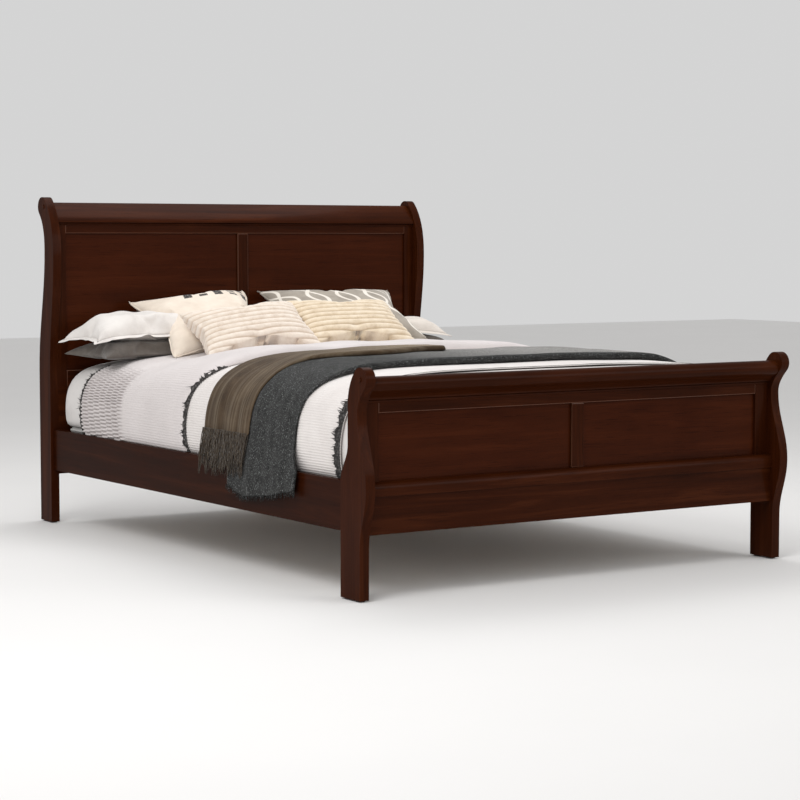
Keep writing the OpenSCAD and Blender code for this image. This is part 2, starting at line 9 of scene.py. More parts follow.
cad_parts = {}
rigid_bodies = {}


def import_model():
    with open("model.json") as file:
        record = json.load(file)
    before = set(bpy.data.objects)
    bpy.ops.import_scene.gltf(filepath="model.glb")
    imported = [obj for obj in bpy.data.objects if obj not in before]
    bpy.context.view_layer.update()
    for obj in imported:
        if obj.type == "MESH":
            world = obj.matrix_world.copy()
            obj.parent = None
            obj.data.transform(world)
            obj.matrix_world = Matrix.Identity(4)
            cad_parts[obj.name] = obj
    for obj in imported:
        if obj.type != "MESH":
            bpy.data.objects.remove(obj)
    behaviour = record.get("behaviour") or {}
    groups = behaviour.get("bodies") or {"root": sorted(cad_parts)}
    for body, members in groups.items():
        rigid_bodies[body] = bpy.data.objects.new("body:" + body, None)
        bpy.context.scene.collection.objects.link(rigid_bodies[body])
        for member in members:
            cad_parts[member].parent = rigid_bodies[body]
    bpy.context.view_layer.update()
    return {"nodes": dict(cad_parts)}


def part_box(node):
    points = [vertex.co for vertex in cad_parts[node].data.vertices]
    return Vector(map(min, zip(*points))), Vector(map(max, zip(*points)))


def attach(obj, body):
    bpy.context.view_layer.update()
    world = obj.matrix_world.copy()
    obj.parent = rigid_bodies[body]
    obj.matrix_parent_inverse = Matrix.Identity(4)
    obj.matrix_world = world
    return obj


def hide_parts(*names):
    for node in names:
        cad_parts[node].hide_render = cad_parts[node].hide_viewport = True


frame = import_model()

scene = bpy.context.scene
nodes = frame["nodes"]

# camera first: a long lens from the foot end, left of the bed and a little above the footboard
cameraSettings = {
    "place": (-4.1367, -6.3920, 1.0461),
    "pitchDown": 4.22,
    "turnRight": 33.18,
    "lens": 99.01,
    "sensor": 36.0,
}


def addCamera(settings):
    data = bpy.data.cameras.new("bedCamera")
    data.lens = settings["lens"]
    data.sensor_width = settings["sensor"]
    data.clip_end = 60
    cam = bpy.data.objects.new("bedCamera", data)
    cam.location = settings["place"]
    cam.rotation_euler = (math.radians(90 - settings["pitchDown"]), 0, math.radians(-settings["turnRight"]))
    scene.collection.objects.link(cam)
    scene.camera = cam


addCamera(cameraSettings)
print("camera set")

studio = {
    "background": (1.0, 1.0, 1.0),
    "ambient": 0.66,
    # place, aim, size in metres, power in watts
    "lights": {
        "keyLight": ((-3.2, -2.2, 3.6), (0, 0, 0.5), (2.6, 2.2), 105),
        "fillLight": ((2.6, -4.6, 2.4), (0.2, 0, 0.5), (2.4, 2.0), 36),
        "headLight": ((0.5, 1.2, 3.4), (0, 0.2, 0.6), (2.4, 1.6), 42),
    },
    "floorColour": (0.80, 0.79, 0.78),
    "floorSize": 30.0,
}


def addAreaLight(name, place, aim, size, power):
    data = bpy.data.lights.new(name, "AREA")
    data.shape = "RECTANGLE"
    data.size = size[0]
    data.size_y = size[1]
    data.energy = power
    lamp = bpy.data.objects.new(name, data)
    lamp.location = place
    lamp.rotation_euler = (Vector(aim) - Vector(place)).to_track_quat("-Z", "Y").to_euler()
    scene.collection.objects.link(lamp)


def addStudio(settings):
    world = bpy.data.worlds.new("studioWorld")
    scene.world = world
    world.use_nodes = True
    ground = world.node_tree.nodes["Background"]
    ground.inputs["Color"].default_value = (*settings["background"], 1)
    ground.inputs["Strength"].default_value = settings["ambient"]
    for name, light in settings["lights"].items():
        addAreaLight(name, *light)
    scene.view_settings.view_transform = "Standard"
    scene.view_settings.look = "None"


addStudio(studio)
print("studio lit")


# small mesh helpers

def linkPiece(name, mesh):
    piece = bpy.data.objects.new(name, mesh)
    scene.collection.objects.link(piece)
    return piece


def meshOf(name, points, faces, smooth=True):
    mesh = bpy.data.meshes.new(name)
    mesh.from_pydata([tuple(p) for p in points], [], faces)
    mesh.update()
    if smooth:
        mesh.shade_smooth()
    return mesh


def gridFaces(rows, cols, start=0, loopCols=False, loopRows=False):
    faces = []
    for i in range(rows if loopRows else rows - 1):
        for j in range(cols if loopCols else cols - 1):
            a = start + i * cols + j
            b = start + i * cols + (j + 1) % cols
            c = start + ((i + 1) % rows) * cols + (j + 1) % cols
            d = start + ((i + 1) % rows) * cols + j
            faces.append((a, b, c, d))
    return faces


def gridPiece(name, points, loopCols=False, loopRows=False, flip=False):
    grid = np.asarray(points, float)
    rows, cols = grid.shape[:2]
    faces = gridFaces(rows, cols, 0, loopCols, loopRows)
    if flip:
        faces = [f[::-1] for f in faces]
    return linkPiece(name, meshOf(name, grid.reshape(-1, 3), faces))


def closeEnds(piece):
    bm = bmesh.new()
    bm.from_mesh(piece.data)
    bmesh.ops.holes_fill(bm, edges=[e for e in bm.edges if e.is_boundary], sides=0)
    bmesh.ops.recalc_face_normals(bm, faces=bm.faces)
    bm.to_mesh(piece.data)
    bm.free()


def resample(line, step):
    # even steps along a polyline of [x, z] points
    line = np.asarray(line, float)
    run = np.concatenate([[0], np.cumsum(np.linalg.norm(np.diff(line, axis=0), axis=1))])
    count = max(2, int(round(run[-1] / step)) + 1)
    at = np.linspace(0, run[-1], count)
    return np.stack([np.interp(at, run, line[:, k]) for k in range(line.shape[1])], 1)


def smoothLine(points, per=12):
    # a rounded line through the given points
    p = np.asarray(points, float)
    p = np.vstack([2 * p[0] - p[1], p, 2 * p[-1] - p[-2]])
    out = []
    for i in range(1, len(p) - 2):
        for t in np.linspace(0, 1, per, endpoint=False):
            a, b, c, d = p[i - 1], p[i], p[i + 1], p[i + 2]
            out.append(0.5 * (2 * b + (c - a) * t + (2 * a - 5 * b + 4 * c - d) * t * t
                              + (3 * b - a - 3 * c + d) * t ** 3))
    out.append(p[-2])
    return np.array(out)


def lineNormals(line):
    step = np.gradient(line, axis=0)
    step /= np.linalg.norm(step, axis=1)[:, None] + 1e-12
    return np.stack([-step[:, 1], step[:, 0]], 1)


def addModifier(piece, kind, **values):
    mod = piece.modifiers.new(kind.title().replace("_", ""), kind)
    for key, value in values.items():
        setattr(mod, key, value)
    return mod


def dress(piece, material, body="bed"):
    piece.data.materials.clear()
    piece.data.materials.append(material)
    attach(piece, body)
    return piece


# material helpers

def newMaterial(name):
    mat = bpy.data.materials.new(name)
    mat.use_nodes = True
    tree = mat.node_tree
    shader = tree.nodes["Principled BSDF"]
    return mat, tree, shader


def maths(tree, operation, a, b=None, c=None):
    made = tree.nodes.new("ShaderNodeMath")
    made.operation = operation
    for i, value in enumerate((a, b, c)):
        if value is None:
            continue
        if hasattr(value, "is_linked"):
            tree.links.new(value, made.inputs[i])
        else:
            made.inputs[i].default_value = value
    return made.outputs[0]


def ramp(tree, factor, stops):
    made = tree.nodes.new("ShaderNodeValToRGB")
    tree.links.new(factor, made.inputs[0])
    band = made.color_ramp
    while len(band.elements) < len(stops):
        band.elements.new(0.5)
    for element, (at, colour) in zip(band.elements, stops):
        element.position = at
        element.color = (*colour, 1)
    return made.outputs[0]


def mixColour(tree, factor, a, b):
    made = tree.nodes.new("ShaderNodeMix")
    made.data_type = "RGBA"
    for socket, value in ((made.inputs[0], factor), (made.inputs[6], a), (made.inputs[7], b)):
        if hasattr(value, "is_linked"):
            tree.links.new(value, socket)
        elif isinstance(value, tuple):
            socket.default_value = (*value, 1)
        else:
            socket.default_value = value
    return made.outputs[2]


def placedAt(tree, scale, kind="Object"):
    # texture position in metres, stretched by scale on each axis
    source = tree.nodes.new("ShaderNodeTexCoord").outputs[kind]
    made = tree.nodes.new("ShaderNodeMapping")
    tree.links.new(source, made.inputs["Vector"])
    made.inputs["Scale"].default_value = scale
    return made.outputs[0]


def noiseAt(tree, vector, scale, detail=4.0, rough=0.55, distortion=0.0):
    made = tree.nodes.new("ShaderNodeTexNoise")
    tree.links.new(vector, made.inputs["Vector"])
    made.inputs["Scale"].default_value = scale
    made.inputs["Detail"].default_value = detail
    made.inputs["Roughness"].default_value = rough
    made.inputs["Distortion"].default_value = distortion
    return made.outputs["Fac"]


def addBump(tree, shader, heights):
    # heights is a list of (socket, strength, distance in metres), stacked
    last = None
    for height, strength, distance in heights:
        made = tree.nodes.new("ShaderNodeBump")
        made.inputs["Strength"].default_value = strength
        made.inputs["Distance"].default_value = distance
        tree.links.new(height, made.inputs["Height"])
        if last is not None:
            tree.links.new(last, made.inputs["Normal"])
        last = made.outputs[0]
    tree.links.new(last, shader.inputs["Normal"])


# the dark cherry finish: grain runs along one axis, clouded stain over it, lacquer on top; the edge copy for
# the bevels has a lighter colour painted on as a highlight
cherry = {
    "dark": (0.0100, 0.0019, 0.0004),
    "mid": (0.0225, 0.0044, 0.0009),
    "light": (0.0500, 0.0125, 0.0036),
    # edge: a lighter colour painted on the bevel faces as a highlight
    "edge": (0.1250, 0.0520, 0.0290),
    "lacquer": 0.05,
    "edgeLacquer": 0.45,
    "lacquerRough": 0.14,
    "rough": 0.42,
    "grainBump": 0.10,
}


def cherryWood(name, along, tone=1.0, cloud=0.35, red=1.0, edge=False):
    mat, tree, shader = newMaterial(name)
    stretch = {"x": (1.3, 26, 26), "y": (26, 1.3, 26), "z": (26, 26, 1.3)}[along]
    fine = {"x": (9, 420, 420), "y": (420, 9, 420), "z": (420, 420, 9)}[along]
    grain = noiseAt(tree, placedAt(tree, stretch), 1.0, 7.0, 0.62, 0.9)
    pores = noiseAt(tree, placedAt(tree, fine), 1.0, 3.0, 0.6)
    stain = noiseAt(tree, placedAt(tree, (3.1, 3.1, 4.3)), 1.0, 5.0, 0.6, 0.4)
    shades = [tuple(c * tone * (red if i == 0 else 1) for i, c in enumerate(cherry[k]))
              for k in ("dark", "mid", "light")]
    # painted highlight: the bevel copy is lifted toward the edge colour
    if edge:
        shades = [tuple(0.5 * (a + b * tone) for a, b in zip(s, cherry["edge"])) for s in shades]
    base = ramp(tree, grain, [(0.28, shades[0]), (0.52, shades[1]), (0.78, shades[2])])
    clouded = mixColour(tree, maths(tree, "MULTIPLY", stain, cloud), base, shades[2])
    poreShade = maths(tree, "MULTIPLY", maths(tree, "LESS_THAN", pores, 0.38), 0.45)
    colour = mixColour(tree, poreShade, clouded, shades[0])
    tree.links.new(colour, shader.inputs["Base Color"])
    roughness = maths(tree, "MULTIPLY_ADD", stain, 0.16, cherry["rough"] - 0.10)
    tree.links.new(roughness, shader.inputs["Roughness"])
    shader.inputs["Specular IOR Level"].default_value = 0.02
    shader.inputs["Coat Weight"].default_value = cherry["edgeLacquer"] if edge else cherry["lacquer"]
    shader.inputs["Coat Roughness"].default_value = cherry["lacquerRough"]
    addBump(tree, shader, [(grain, cherry["grainBump"], 0.0012), (pores, 0.08, 0.0004)])
    return mat


toneAlong = {"x": 1.25, "y": 0.92, "z": 1.2}
woods = {axis: cherryWood("cherryAlong" + axis.upper(), axis, tone) for axis, tone in toneAlong.items()}
woodEdgeHighlights = {axis: cherryWood("cherryEdge" + axis.upper(), axis, tone, edge=True)
             for axis, tone in toneAlong.items()}
panelWood = cherryWood("cherryPanel", "x", tone=1.08, cloud=0.8, red=1.12)
panelEdgeHighlight = cherryWood("cherryPanelEdge", "x", tone=1.18, cloud=0.8, red=1.12, edge=True)


def finishWood(nodeNames, axis, width=0.0022, segments=3, faces=None, edges=None):
    for name in nodeNames:
        piece = nodes[name]
        piece.data.materials.clear()
        piece.data.materials.append(faces or woods[axis])
        # the second material goes on the bevel faces and carries the painted edge highlight
        piece.data.materials.append(edges or woodEdgeHighlights[axis])
        for polygon in piece.data.polygons:
            polygon.material_index = 0
        piece.data.shade_smooth()
        addModifier(piece, "WELD", merge_threshold=0.00002)
        addModifier(piece, "BEVEL", width=width, segments=segments, limit_method="ANGLE",
                    angle_limit=math.radians(32), harden_normals=True, material=1)
        addModifier(piece, "WEIGHTED_NORMAL", keep_sharp=True, weight=80)


finishWood(["head_post_left", "head_post_right", "foot_post_left", "foot_post_right"], "z", 0.0038, 4)
finishWood(["head_crown_rail", "head_top_rail", "head_bottom_rail", "foot_cap_rail", "foot_top_rail",
            "foot_base_moulding", "foot_apron"], "x", 0.0026)
finishWood(["head_bead", "foot_bead"], "x", 0.0012, 2)
finishWood(["head_stile_left", "head_stile_right", "head_mullion", "foot_stile_left",
            "foot_stile_right", "foot_mullion"], "z", 0.0026)
finishWood(["side_rail_left", "side_rail_right"], "y", 0.0030)
finishWood(["head_panel_left", "head_panel_right", "foot_panel_left", "foot_panel_right"], "x", 0.0012,
           2, panelWood, panelEdgeHighlight)
finishWood(["head_lower_board"], "x", 0.0015, 2)
finishWood(["post_buttons"], "z", 0.0008, 2)
print("woodwork finished")


# cloth finishes

def clothFinish(name, tones, pitch=0.0022, weave=0.35, depth=0.0006, cloud=9.0, rough=0.9, sheen=0.25,
                fleck=None, stripe=None, fuzz=0.0):
    # tones is (deep, body, light); pitch is the thread spacing in metres
    mat, tree, shader = newMaterial(name)
    spot = placedAt(tree, (1, 1, 1))
    body = noiseAt(tree, spot, cloud, 5.0, 0.6)
    colour = ramp(tree, body, [(0.25, tones[0]), (0.5, tones[1]), (0.78, tones[2])])
    split = tree.nodes.new("ShaderNodeSeparateXYZ")
    tree.links.new(spot, split.inputs[0])
    turn = 2 * math.pi / pitch
    acrossSum = maths(tree, "ADD", split.outputs[0], split.outputs[2])
    warp = maths(tree, "SINE", maths(tree, "MULTIPLY", acrossSum, turn))
    weft = maths(tree, "SINE", maths(tree, "MULTIPLY", split.outputs[1], turn))
    threads = maths(tree, "MULTIPLY_ADD", maths(tree, "MULTIPLY", warp, weft), 0.5, 0.5)
    colour = mixColour(tree, maths(tree, "MULTIPLY", threads, weave * 0.5), colour, tones[0])
    if stripe:
        lines = noiseAt(tree, placedAt(tree, (2.0, stripe["per"], 2.0)), 1.0, 3.0, 0.6)
        lineMask = ramp(tree, lines, [(0.45, (0, 0, 0)), (0.62, (stripe["mix"],) * 3)])
        colour = mixColour(tree, lineMask, colour, stripe["tone"])
    if fleck:
        bits = noiseAt(tree, placedAt(tree, (1, 1, 0.45)), fleck["scale"], 2.0, 0.75)
        bitMask = ramp(tree, bits, [(fleck["from"], (0, 0, 0)), (fleck["to"], (1, 1, 1))])
        colour = mixColour(tree, bitMask, colour, fleck["tone"])
        darkBits = noiseAt(tree, placedAt(tree, (1, 1, 0.6)), fleck["scale"] * 0.8, 2.0, 0.7)
        darkMask = ramp(tree, darkBits, [(0.30, (0.8,) * 3), (0.42, (0, 0, 0))])
        colour = mixColour(tree, darkMask, colour, tones[0])
    tree.links.new(colour, shader.inputs["Base Color"])
    shader.inputs["Roughness"].default_value = rough
    shader.inputs["Specular IOR Level"].default_value = 0.2
    shader.inputs["Sheen Weight"].default_value = sheen
    shader.inputs["Sheen Roughness"].default_value = 0.5
    slubs = noiseAt(tree, placedAt(tree, (1, 1, 1)), 1 / (pitch * 2.2), 3.0, 0.6)
    addBump(tree, shader, [(threads, 0.5, depth), (slubs, 0.35 + fuzz, depth * 1.6)])
    return mat


coverletCloth = clothFinish(
    "creamQuilting", ((0.68, 0.635, 0.612), (0.745, 0.70, 0.675), (0.80, 0.76, 0.735)),
    0.0026, 0.25, 0.0005, 7)
duvetCloth = clothFinish(
    "paleSmockedCotton", ((0.62, 0.572, 0.562), (0.665, 0.615, 0.605), (0.72, 0.67, 0.66)),
    0.0024, 0.25, 0.0005, 6)
sheetCloth = clothFinish(
    "fittedSheetCotton", ((0.55, 0.52, 0.50), (0.68, 0.65, 0.63), (0.73, 0.70, 0.68)),
    0.0016, 0.15, 0.0003, 8)
tickingCloth = clothFinish(
    "foundationTicking", ((0.42, 0.41, 0.40), (0.55, 0.54, 0.52), (0.62, 0.61, 0.60)),
    0.003, 0.3, 0.0005, 14)
# near-black ruffle cloth: partly the trim's own dark colour, partly painted shade of the deep gathers
ruffleClothWithGatherShade = clothFinish(
    "charcoalRuffle", ((0.012, 0.011, 0.011), (0.035, 0.032, 0.031), (0.22, 0.21, 0.20)),
    0.0016, 0.3, 0.0005, 160, fuzz=0.2)
brownWool = clothFinish(
    "brownWoolTwill", ((0.036, 0.021, 0.010), (0.064, 0.039, 0.020), (0.110, 0.074, 0.042)),
    0.0030, 0.45, 0.0007, 16, sheen=0.06,
    stripe={"per": 95.0, "mix": 0.35, "tone": (0.23, 0.185, 0.13)})
fringeWool = clothFinish(
    "fringeWool", ((0.015, 0.009, 0.005), (0.042, 0.028, 0.016), (0.115, 0.085, 0.054)),
    0.0016, 0.6, 0.0007, 120)
greyWool = clothFinish(
    "heatherGreyWool", ((0.008, 0.0082, 0.0080), (0.021, 0.0213, 0.0205), (0.040, 0.0405, 0.0390)),
    0.0030, 0.45, 0.0008, 40, sheen=0.05,
    fleck={"scale": 420, "from": 0.59, "to": 0.70, "tone": (0.36, 0.37, 0.37)}, fuzz=0.3)
whitePillowCloth = clothFinish(
    "whitePillowCotton", ((0.60, 0.56, 0.53), (0.74, 0.70, 0.665), (0.79, 0.755, 0.72)),
    0.0014, 0.15, 0.0003, 11)
greyPillowCloth = clothFinish(
    "greyPillowCotton", ((0.055, 0.045, 0.038), (0.105, 0.088, 0.075), (0.15, 0.13, 0.112)),
    0.0014, 0.2, 0.0003, 11)
beigePillowCloth = clothFinish(
    "beigePillowCotton", ((0.52, 0.46, 0.40), (0.68, 0.62, 0.56), (0.76, 0.70, 0.64)),
    0.0014, 0.15, 0.0003, 11)
lumbarCream = clothFinish(
    "creamChenille", ((0.66, 0.55, 0.45), (0.80, 0.70, 0.60), (0.86, 0.78, 0.69)),
    0.0034, 0.35, 0.0009, 34, sheen=0.5, fuzz=0.35)
lumbarButter = clothFinish(
    "butterChenille", ((0.62, 0.49, 0.34), (0.79, 0.665, 0.50), (0.86, 0.755, 0.61)),
    0.0034, 0.35, 0.0009, 34, sheen=0.5, fuzz=0.35)
print("cloth finishes made")


# the bedding follows one outline, from the middle of the bed over the side to the tuck inside the rail

beddingShape = {
    "crown": 0.017,       # the middle's height over the coverlet's top
    # out from the coverlet's side, up from its top, from the middle outward
    "side": [(-0.5125, 0.0165), (-0.3125, 0.0125), (-0.2025, 0.0060), (-0.1225, -0.0070),
             (-0.0625, -0.0300), (-0.0205, -0.0655), (0.0035, -0.1095), (0.0155, -0.1555), (0.0205, -0.2015),
             (0.0185, -0.2465), (0.0110, -0.2765), (0.0010, -0.2935), (-0.0055, -0.3115), (-0.0085, -0.3315)],
    "step": 0.002,
}

coverletLow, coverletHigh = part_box("coverlet")
mattressLow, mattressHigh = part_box("mattress")
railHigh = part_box("side_rail_left")[1]
ruffleFrom = 0.64        # distance along the outline where the ruffles start to stand
tuckHeight = 0.335       # lowest height of the fine ribs and the ruffles


def makeOutline(shape):
    halfWidth = coverletHigh.x
    top = coverletHigh.z
    points = [(0, top + shape["crown"])] + [(halfWidth + a, top + b) for a, b in shape["side"]]
    half = resample(smoothLine(points, 16), shape["step"])
    full = np.vstack([half[::-1] * [-1, 1], half[1:]])
    run = np.arange(-(len(half) - 1), len(half)) * np.linalg.norm(half[1] - half[0])
    normal = lineNormals(full)
    return run, full, normal


outlineRun, outlineLine, outlineNormal = makeOutline(beddingShape)
sideRun = outlineRun[-1]


def onBed(run, out):
    # point at a distance along the outline, negative on the left, and a height off it
    spot = [np.interp(run, outlineRun, outlineLine[:, k]) for k in (0, 1)]
    away = [np.interp(run, outlineRun, outlineNormal[:, k]) for k in (0, 1)]
    return spot[0] + away[0] * out, spot[1] + away[1] * out


def runAtHeight(z, side=-1):
    # distance along the outline where the side is at height z
    half = outlineRun > 0
    return side * float(np.interp(-z, -outlineLine[half, 1], outlineRun[half]))


def edgeRound(distance, radius):
    t = np.clip(np.asarray(distance, float) / radius, 0, 1)
    return np.sqrt(np.clip(1 - (1 - t) ** 2, 0, 1))


def noiseField(a, b, scaleA, scaleB, seed):
    # smooth noise over two arrays, from a few turned waves, the same every run
    dice = random.Random(seed)
    total = np.zeros(np.broadcast(a, b).shape)
    for _ in range(9):
        turn = dice.uniform(0, 2 * math.pi)
        grow = dice.uniform(0.5, 1.9)
        phase = dice.uniform(0, 2 * math.pi)
        along = a * scaleA * math.cos(turn) + b * scaleB * math.sin(turn)
        total += np.sin(along * grow + phase) / 3
    return total * 0.8


def sideColumns(fine, coarse, fineFrom=0.610, fineTo=tuckHeight):
    # closer columns where the ribs show on the sides
    a, b = abs(runAtHeight(fineFrom)), abs(runAtHeight(fineTo))
    right = np.concatenate([np.arange(0, a, coarse), np.arange(a, b, fine), np.linspace(b, sideRun, 12)])
    return np.concatenate([-right[::-1], right[1:]])


def beddingGrid(runs, ys, outOf):
    # ys has one value a row, or one a row and column
    runGrid, yGrid = np.meshgrid(runs, ys) if np.ndim(ys) == 1 else (np.broadcast_to(runs, ys.shape), ys)
    x, z = onBed(runGrid, outOf(runGrid, yGrid))
    return np.stack([x, yGrid, z], 2)


# mattress in its fitted sheet, and the upholstered foundation under it

mattressMake = {"inset": 0.007, "endRound": 0.055, "puff": 0.004}


def mattressPiece(make):
    outline = outlineLine - outlineNormal * make["inset"]
    keep = outline[:, 1] > mattressLow.z + 0.022
    top = outline[keep][::6]
    low = mattressLow.z + 0.0015
    tuck = top[-1][0]
    bottom = [(tuck - 0.006, low + 0.009), (tuck - 0.016, low + 0.002)]
    bottom += [(x, low) for x in np.linspace(tuck - 0.03, -(tuck - 0.03), 40)]
    bottom += [(-(tuck - 0.016), low + 0.002), (-(tuck - 0.006), low + 0.009)]
    loop = np.vstack([top, bottom])
    centre = np.array([0, (low + top[:, 1].max()) / 2])
    rows = []
    radius = make["endRound"]
    ys = [(mattressLow.y + radius * (1 - math.cos(a)), radius * (1 - math.sin(a)))
          for a in np.linspace(0, math.pi / 2, 9)]
    ys += [(y, 0) for y in np.linspace(mattressLow.y + radius + 0.03, mattressHigh.y - radius - 0.03, 60)]
    ys += [(mattressHigh.y - radius * (1 - math.cos(a)), radius * (1 - math.sin(a)))
           for a in np.linspace(math.pi / 2, 0, 9)]
    away = (loop - centre) / np.linalg.norm(loop - centre, axis=1)[:, None]
    for y, pull in ys:
        wave = make["puff"] * noiseField(loop[:, 0] + loop[:, 1], np.full(len(loop), y), 7, 5, 4) * 0.2
        ring = loop - away * pull + away * wave[:, None]
        rows.append(np.column_stack([ring[:, 0], np.full(len(loop), y), ring[:, 1]]))
    for y, end in ((mattressLow.y, 0), (mattressHigh.y, -1)):
        base = rows[end]
        mid = np.array([0, y, centre[1]])
        shrunk = [mid + (base - mid) * k for k in (0.75, 0.5, 0.25, 0.02)]
        rows = shrunk[::-1] + rows if end == 0 else rows + shrunk
    piece = gridPiece("mattressInSheet", np.array(rows), loopCols=True)
    closeEnds(piece)
    dress(piece, sheetCloth)
    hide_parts("mattress")


mattressPiece(mattressMake)

foundationMake = {"corner": 0.06, "welt": 0.0035, "edge": 0.012}


def roundedLoop(low, high, corner, inset=0.0, per=8):
    points = []
    corners = ((high.x, high.y, 0), (low.x, high.y, 90), (low.x, low.y, 180), (high.x, low.y, 270))
    for cx, cy, start in corners:
        mx = cx - math.copysign(corner, cx)
        my = cy - math.copysign(corner, cy - (low.y + high.y) / 2)
        for k in range(per + 1):
            a = math.radians(start + 90 * k / per)
            points.append((mx + (corner - inset) * math.cos(a), my + (corner - inset) * math.sin(a)))
    return resample(np.array(points + points[:1]), 0.02)[:-1]


def foundationPiece(make):
    low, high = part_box("foundation")
    edge = make["edge"]
    loop = roundedLoop(low, high, make["corner"])
    middle = np.array([0, (low.y + high.y) / 2])
    rows = []
    inward = (0.6, 0.25, 0.05)
    rings = [(share, low.z + 0.0006, 0) for share in inward]
    turns = [math.radians(a) for a in np.linspace(-90, 0, 5)]
    rings += [(0, low.z + edge + edge * math.sin(a), edge * (1 - math.cos(a))) for a in turns]
    for t in np.linspace(0.1, 0.9, 7):
        height = low.z + edge + (high.z - low.z - 2 * edge) * t
        rings.append((0, height, 0.002 * math.sin(math.pi * t * 2) ** 2))
    rings += [(0, high.z - edge - edge * math.sin(a), edge * (1 - math.cos(a))) for a in turns[::-1]]
    rings += [(share, high.z - 0.0006, 0) for share in inward[::-1]]
    for share, z, pull in rings:
        away = loop - middle
        away = away / np.linalg.norm(away, axis=1)[:, None]
        flat = loop - away * pull
        flat = middle + (flat - middle) * (1 - share)
        rows.append(np.column_stack([flat, np.full(len(loop), z)]))
    piece = gridPiece("foundationBox", np.array(rows), loopCols=True, flip=True)
    closeEnds(piece)
    dress(piece, tickingCloth)
    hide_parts("foundation")
    for tag, z in (("Low", low.z + edge * 0.9), ("High", high.z - edge * 0.9)):
        tube = tubeAlong(np.column_stack([loop, np.full(len(loop), z)]), make["welt"], 6, closed=True)
        welt = linkPiece("foundationWelt" + tag, meshOf("foundationWelt" + tag, *tube))
        dress(welt, tickingCloth)


def tubeAlong(path, radius, sides=6, closed=False, taper=None):
    # points and faces of a round tube along a path
    path = np.asarray(path, float)
    ahead = np.roll(path, -1, 0) - np.roll(path, 1, 0) if closed else np.gradient(path, axis=0)
    ahead /= np.linalg.norm(ahead, axis=1)[:, None] + 1e-12
    up = np.array([0.13, 0.27, 0.95])
    across = np.cross(ahead, up)
    across /= np.linalg.norm(across, axis=1)[:, None] + 1e-12
    over = np.cross(across, ahead)
    radii = np.full(len(path), radius) if taper is None else radius * np.asarray(taper)
    points = []
    for k in range(sides):
        a = 2 * math.pi * k / sides
        points.append(path + (across * math.cos(a) + over * math.sin(a)) * radii[:, None])
    grid = np.stack(points, 1)
    faces = gridFaces(len(path), sides, 0, True, closed)
    if not closed:
        faces += [tuple(range(sides))[::-1], tuple((len(path) - 1) * sides + k for k in range(sides))]
    return grid.reshape(-1, 3), faces


foundationPiece(foundationMake)
print("mattress and foundation made")


# coverlet: a quilted sleeve with fine ribs down its sides, ending in a dark ruffle whose darkness is partly
# painted shade of the gathers

coverletMake = {
    "footEdge": -0.946,
    "headEdge": 0.835,
    "ribPitch": 0.0082,
    "ribDepth": 0.0011,
    "bulge": 0.0022,
    "thick": 0.003,
    "fineStep": 0.0021,
    "rowStep": 0.022,
}


def coverletOut(run, y):
    side = np.clip((np.abs(run) - 0.62) / 0.10, 0, 1)
    ribs = coverletMake["ribDepth"] * np.sin(2 * math.pi * run / coverletMake["ribPitch"]
                                             + 0.6 * np.sin(y * 9)) * side
    slow = coverletMake["bulge"] * noiseField(run, y, 9, 6, 11)
    return slow * 0.6 + ribs + 0.0012


def coverletPiece(make):
    runs = sideColumns(make["fineStep"], 0.02)
    ys = np.arange(make["footEdge"], make["headEdge"], make["rowStep"])
    piece = gridPiece("quiltedCoverlet", beddingGrid(runs, ys, coverletOut))
    addModifier(piece, "SOLIDIFY", thickness=make["thick"], offset=-1)
    dress(piece, coverletCloth)
    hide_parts("coverlet")
    return piece, 2 * sideRun, ys[-1] - ys[0]


def ruffleStrip(name, runs, yOf, outOf, flare, width, seed, spikes=1.0):
    # a narrow gathered strip standing off an edge, with frayed tips
    dice = random.Random(seed)
    yBase = yOf(runs)
    outBase = outOf(runs)
    wave = noiseField(runs, np.zeros_like(runs), 190, 1, seed)
    wave2 = noiseField(runs, np.zeros_like(runs), 420, 1, seed + 1)
    stand = 0.12 + 0.88 * np.clip((np.abs(runs) - ruffleFrom) / 0.05, 0, 1)
    rows = []
    for share in (0.0, 0.35, 0.7, 1.0):
        stretch = (0.15 + 0.55 * share) * (1 + 0.35 * wave2 * share) * np.sqrt(share + 0.05)
        out = outBase + stand * width * stretch
        y = yBase + stand * flare * width * (share + 0.45 * wave * share)
        x, z = onBed(runs, out)
        rows.append(np.stack([x, y, z], 1))
    grid = np.array(rows)
    points = [grid.reshape(-1, 3)]
    faces = gridFaces(4, len(runs))
    start = points[0].shape[0]
    for i in range(2, len(runs) - 2, 2):
        if dice.random() > 0.75 * spikes or stand[i] < 0.9:
            continue
        foot = grid[dice.choice((2, 3)), i]
        along = grid[3, min(i + 1, len(runs) - 1)] - grid[3, i]
        lift = grid[3, i] - grid[0, i]
        lift = lift / (np.linalg.norm(lift) + 1e-9)
        long = width * dice.uniform(0.4, 1.3)
        tip = foot + lift * long * 0.6 + np.array([0, flare * long * dice.uniform(0.2, 0.9), 0])
        tip = tip + along * dice.uniform(-3, 3)
        spread = along * 0.75
        points.append(np.array([foot - spread, foot + spread, foot + lift * 0.0015, tip]))
        a, b, c, top = range(start, start + 4)
        faces += [(a, b, top), (b, c, top), (c, a, top)]
        start += 4
    piece = linkPiece(name, meshOf(name, np.vstack(points), faces))
    dress(piece, ruffleClothWithGatherShade)
    return piece


coverletSheet, coverletAcross, coverletLong = coverletPiece(coverletMake)
tuckRun = abs(runAtHeight(tuckHeight))
trimRuns = np.arange(-tuckRun, tuckRun, 0.0028)
ruffleRuns = np.concatenate([trimRuns[trimRuns < -ruffleFrom], np.arange(-ruffleFrom, ruffleFrom, 0.02),
                             trimRuns[trimRuns > ruffleFrom]])


def coverletFoot(run):
    return np.full_like(run, coverletMake["footEdge"])


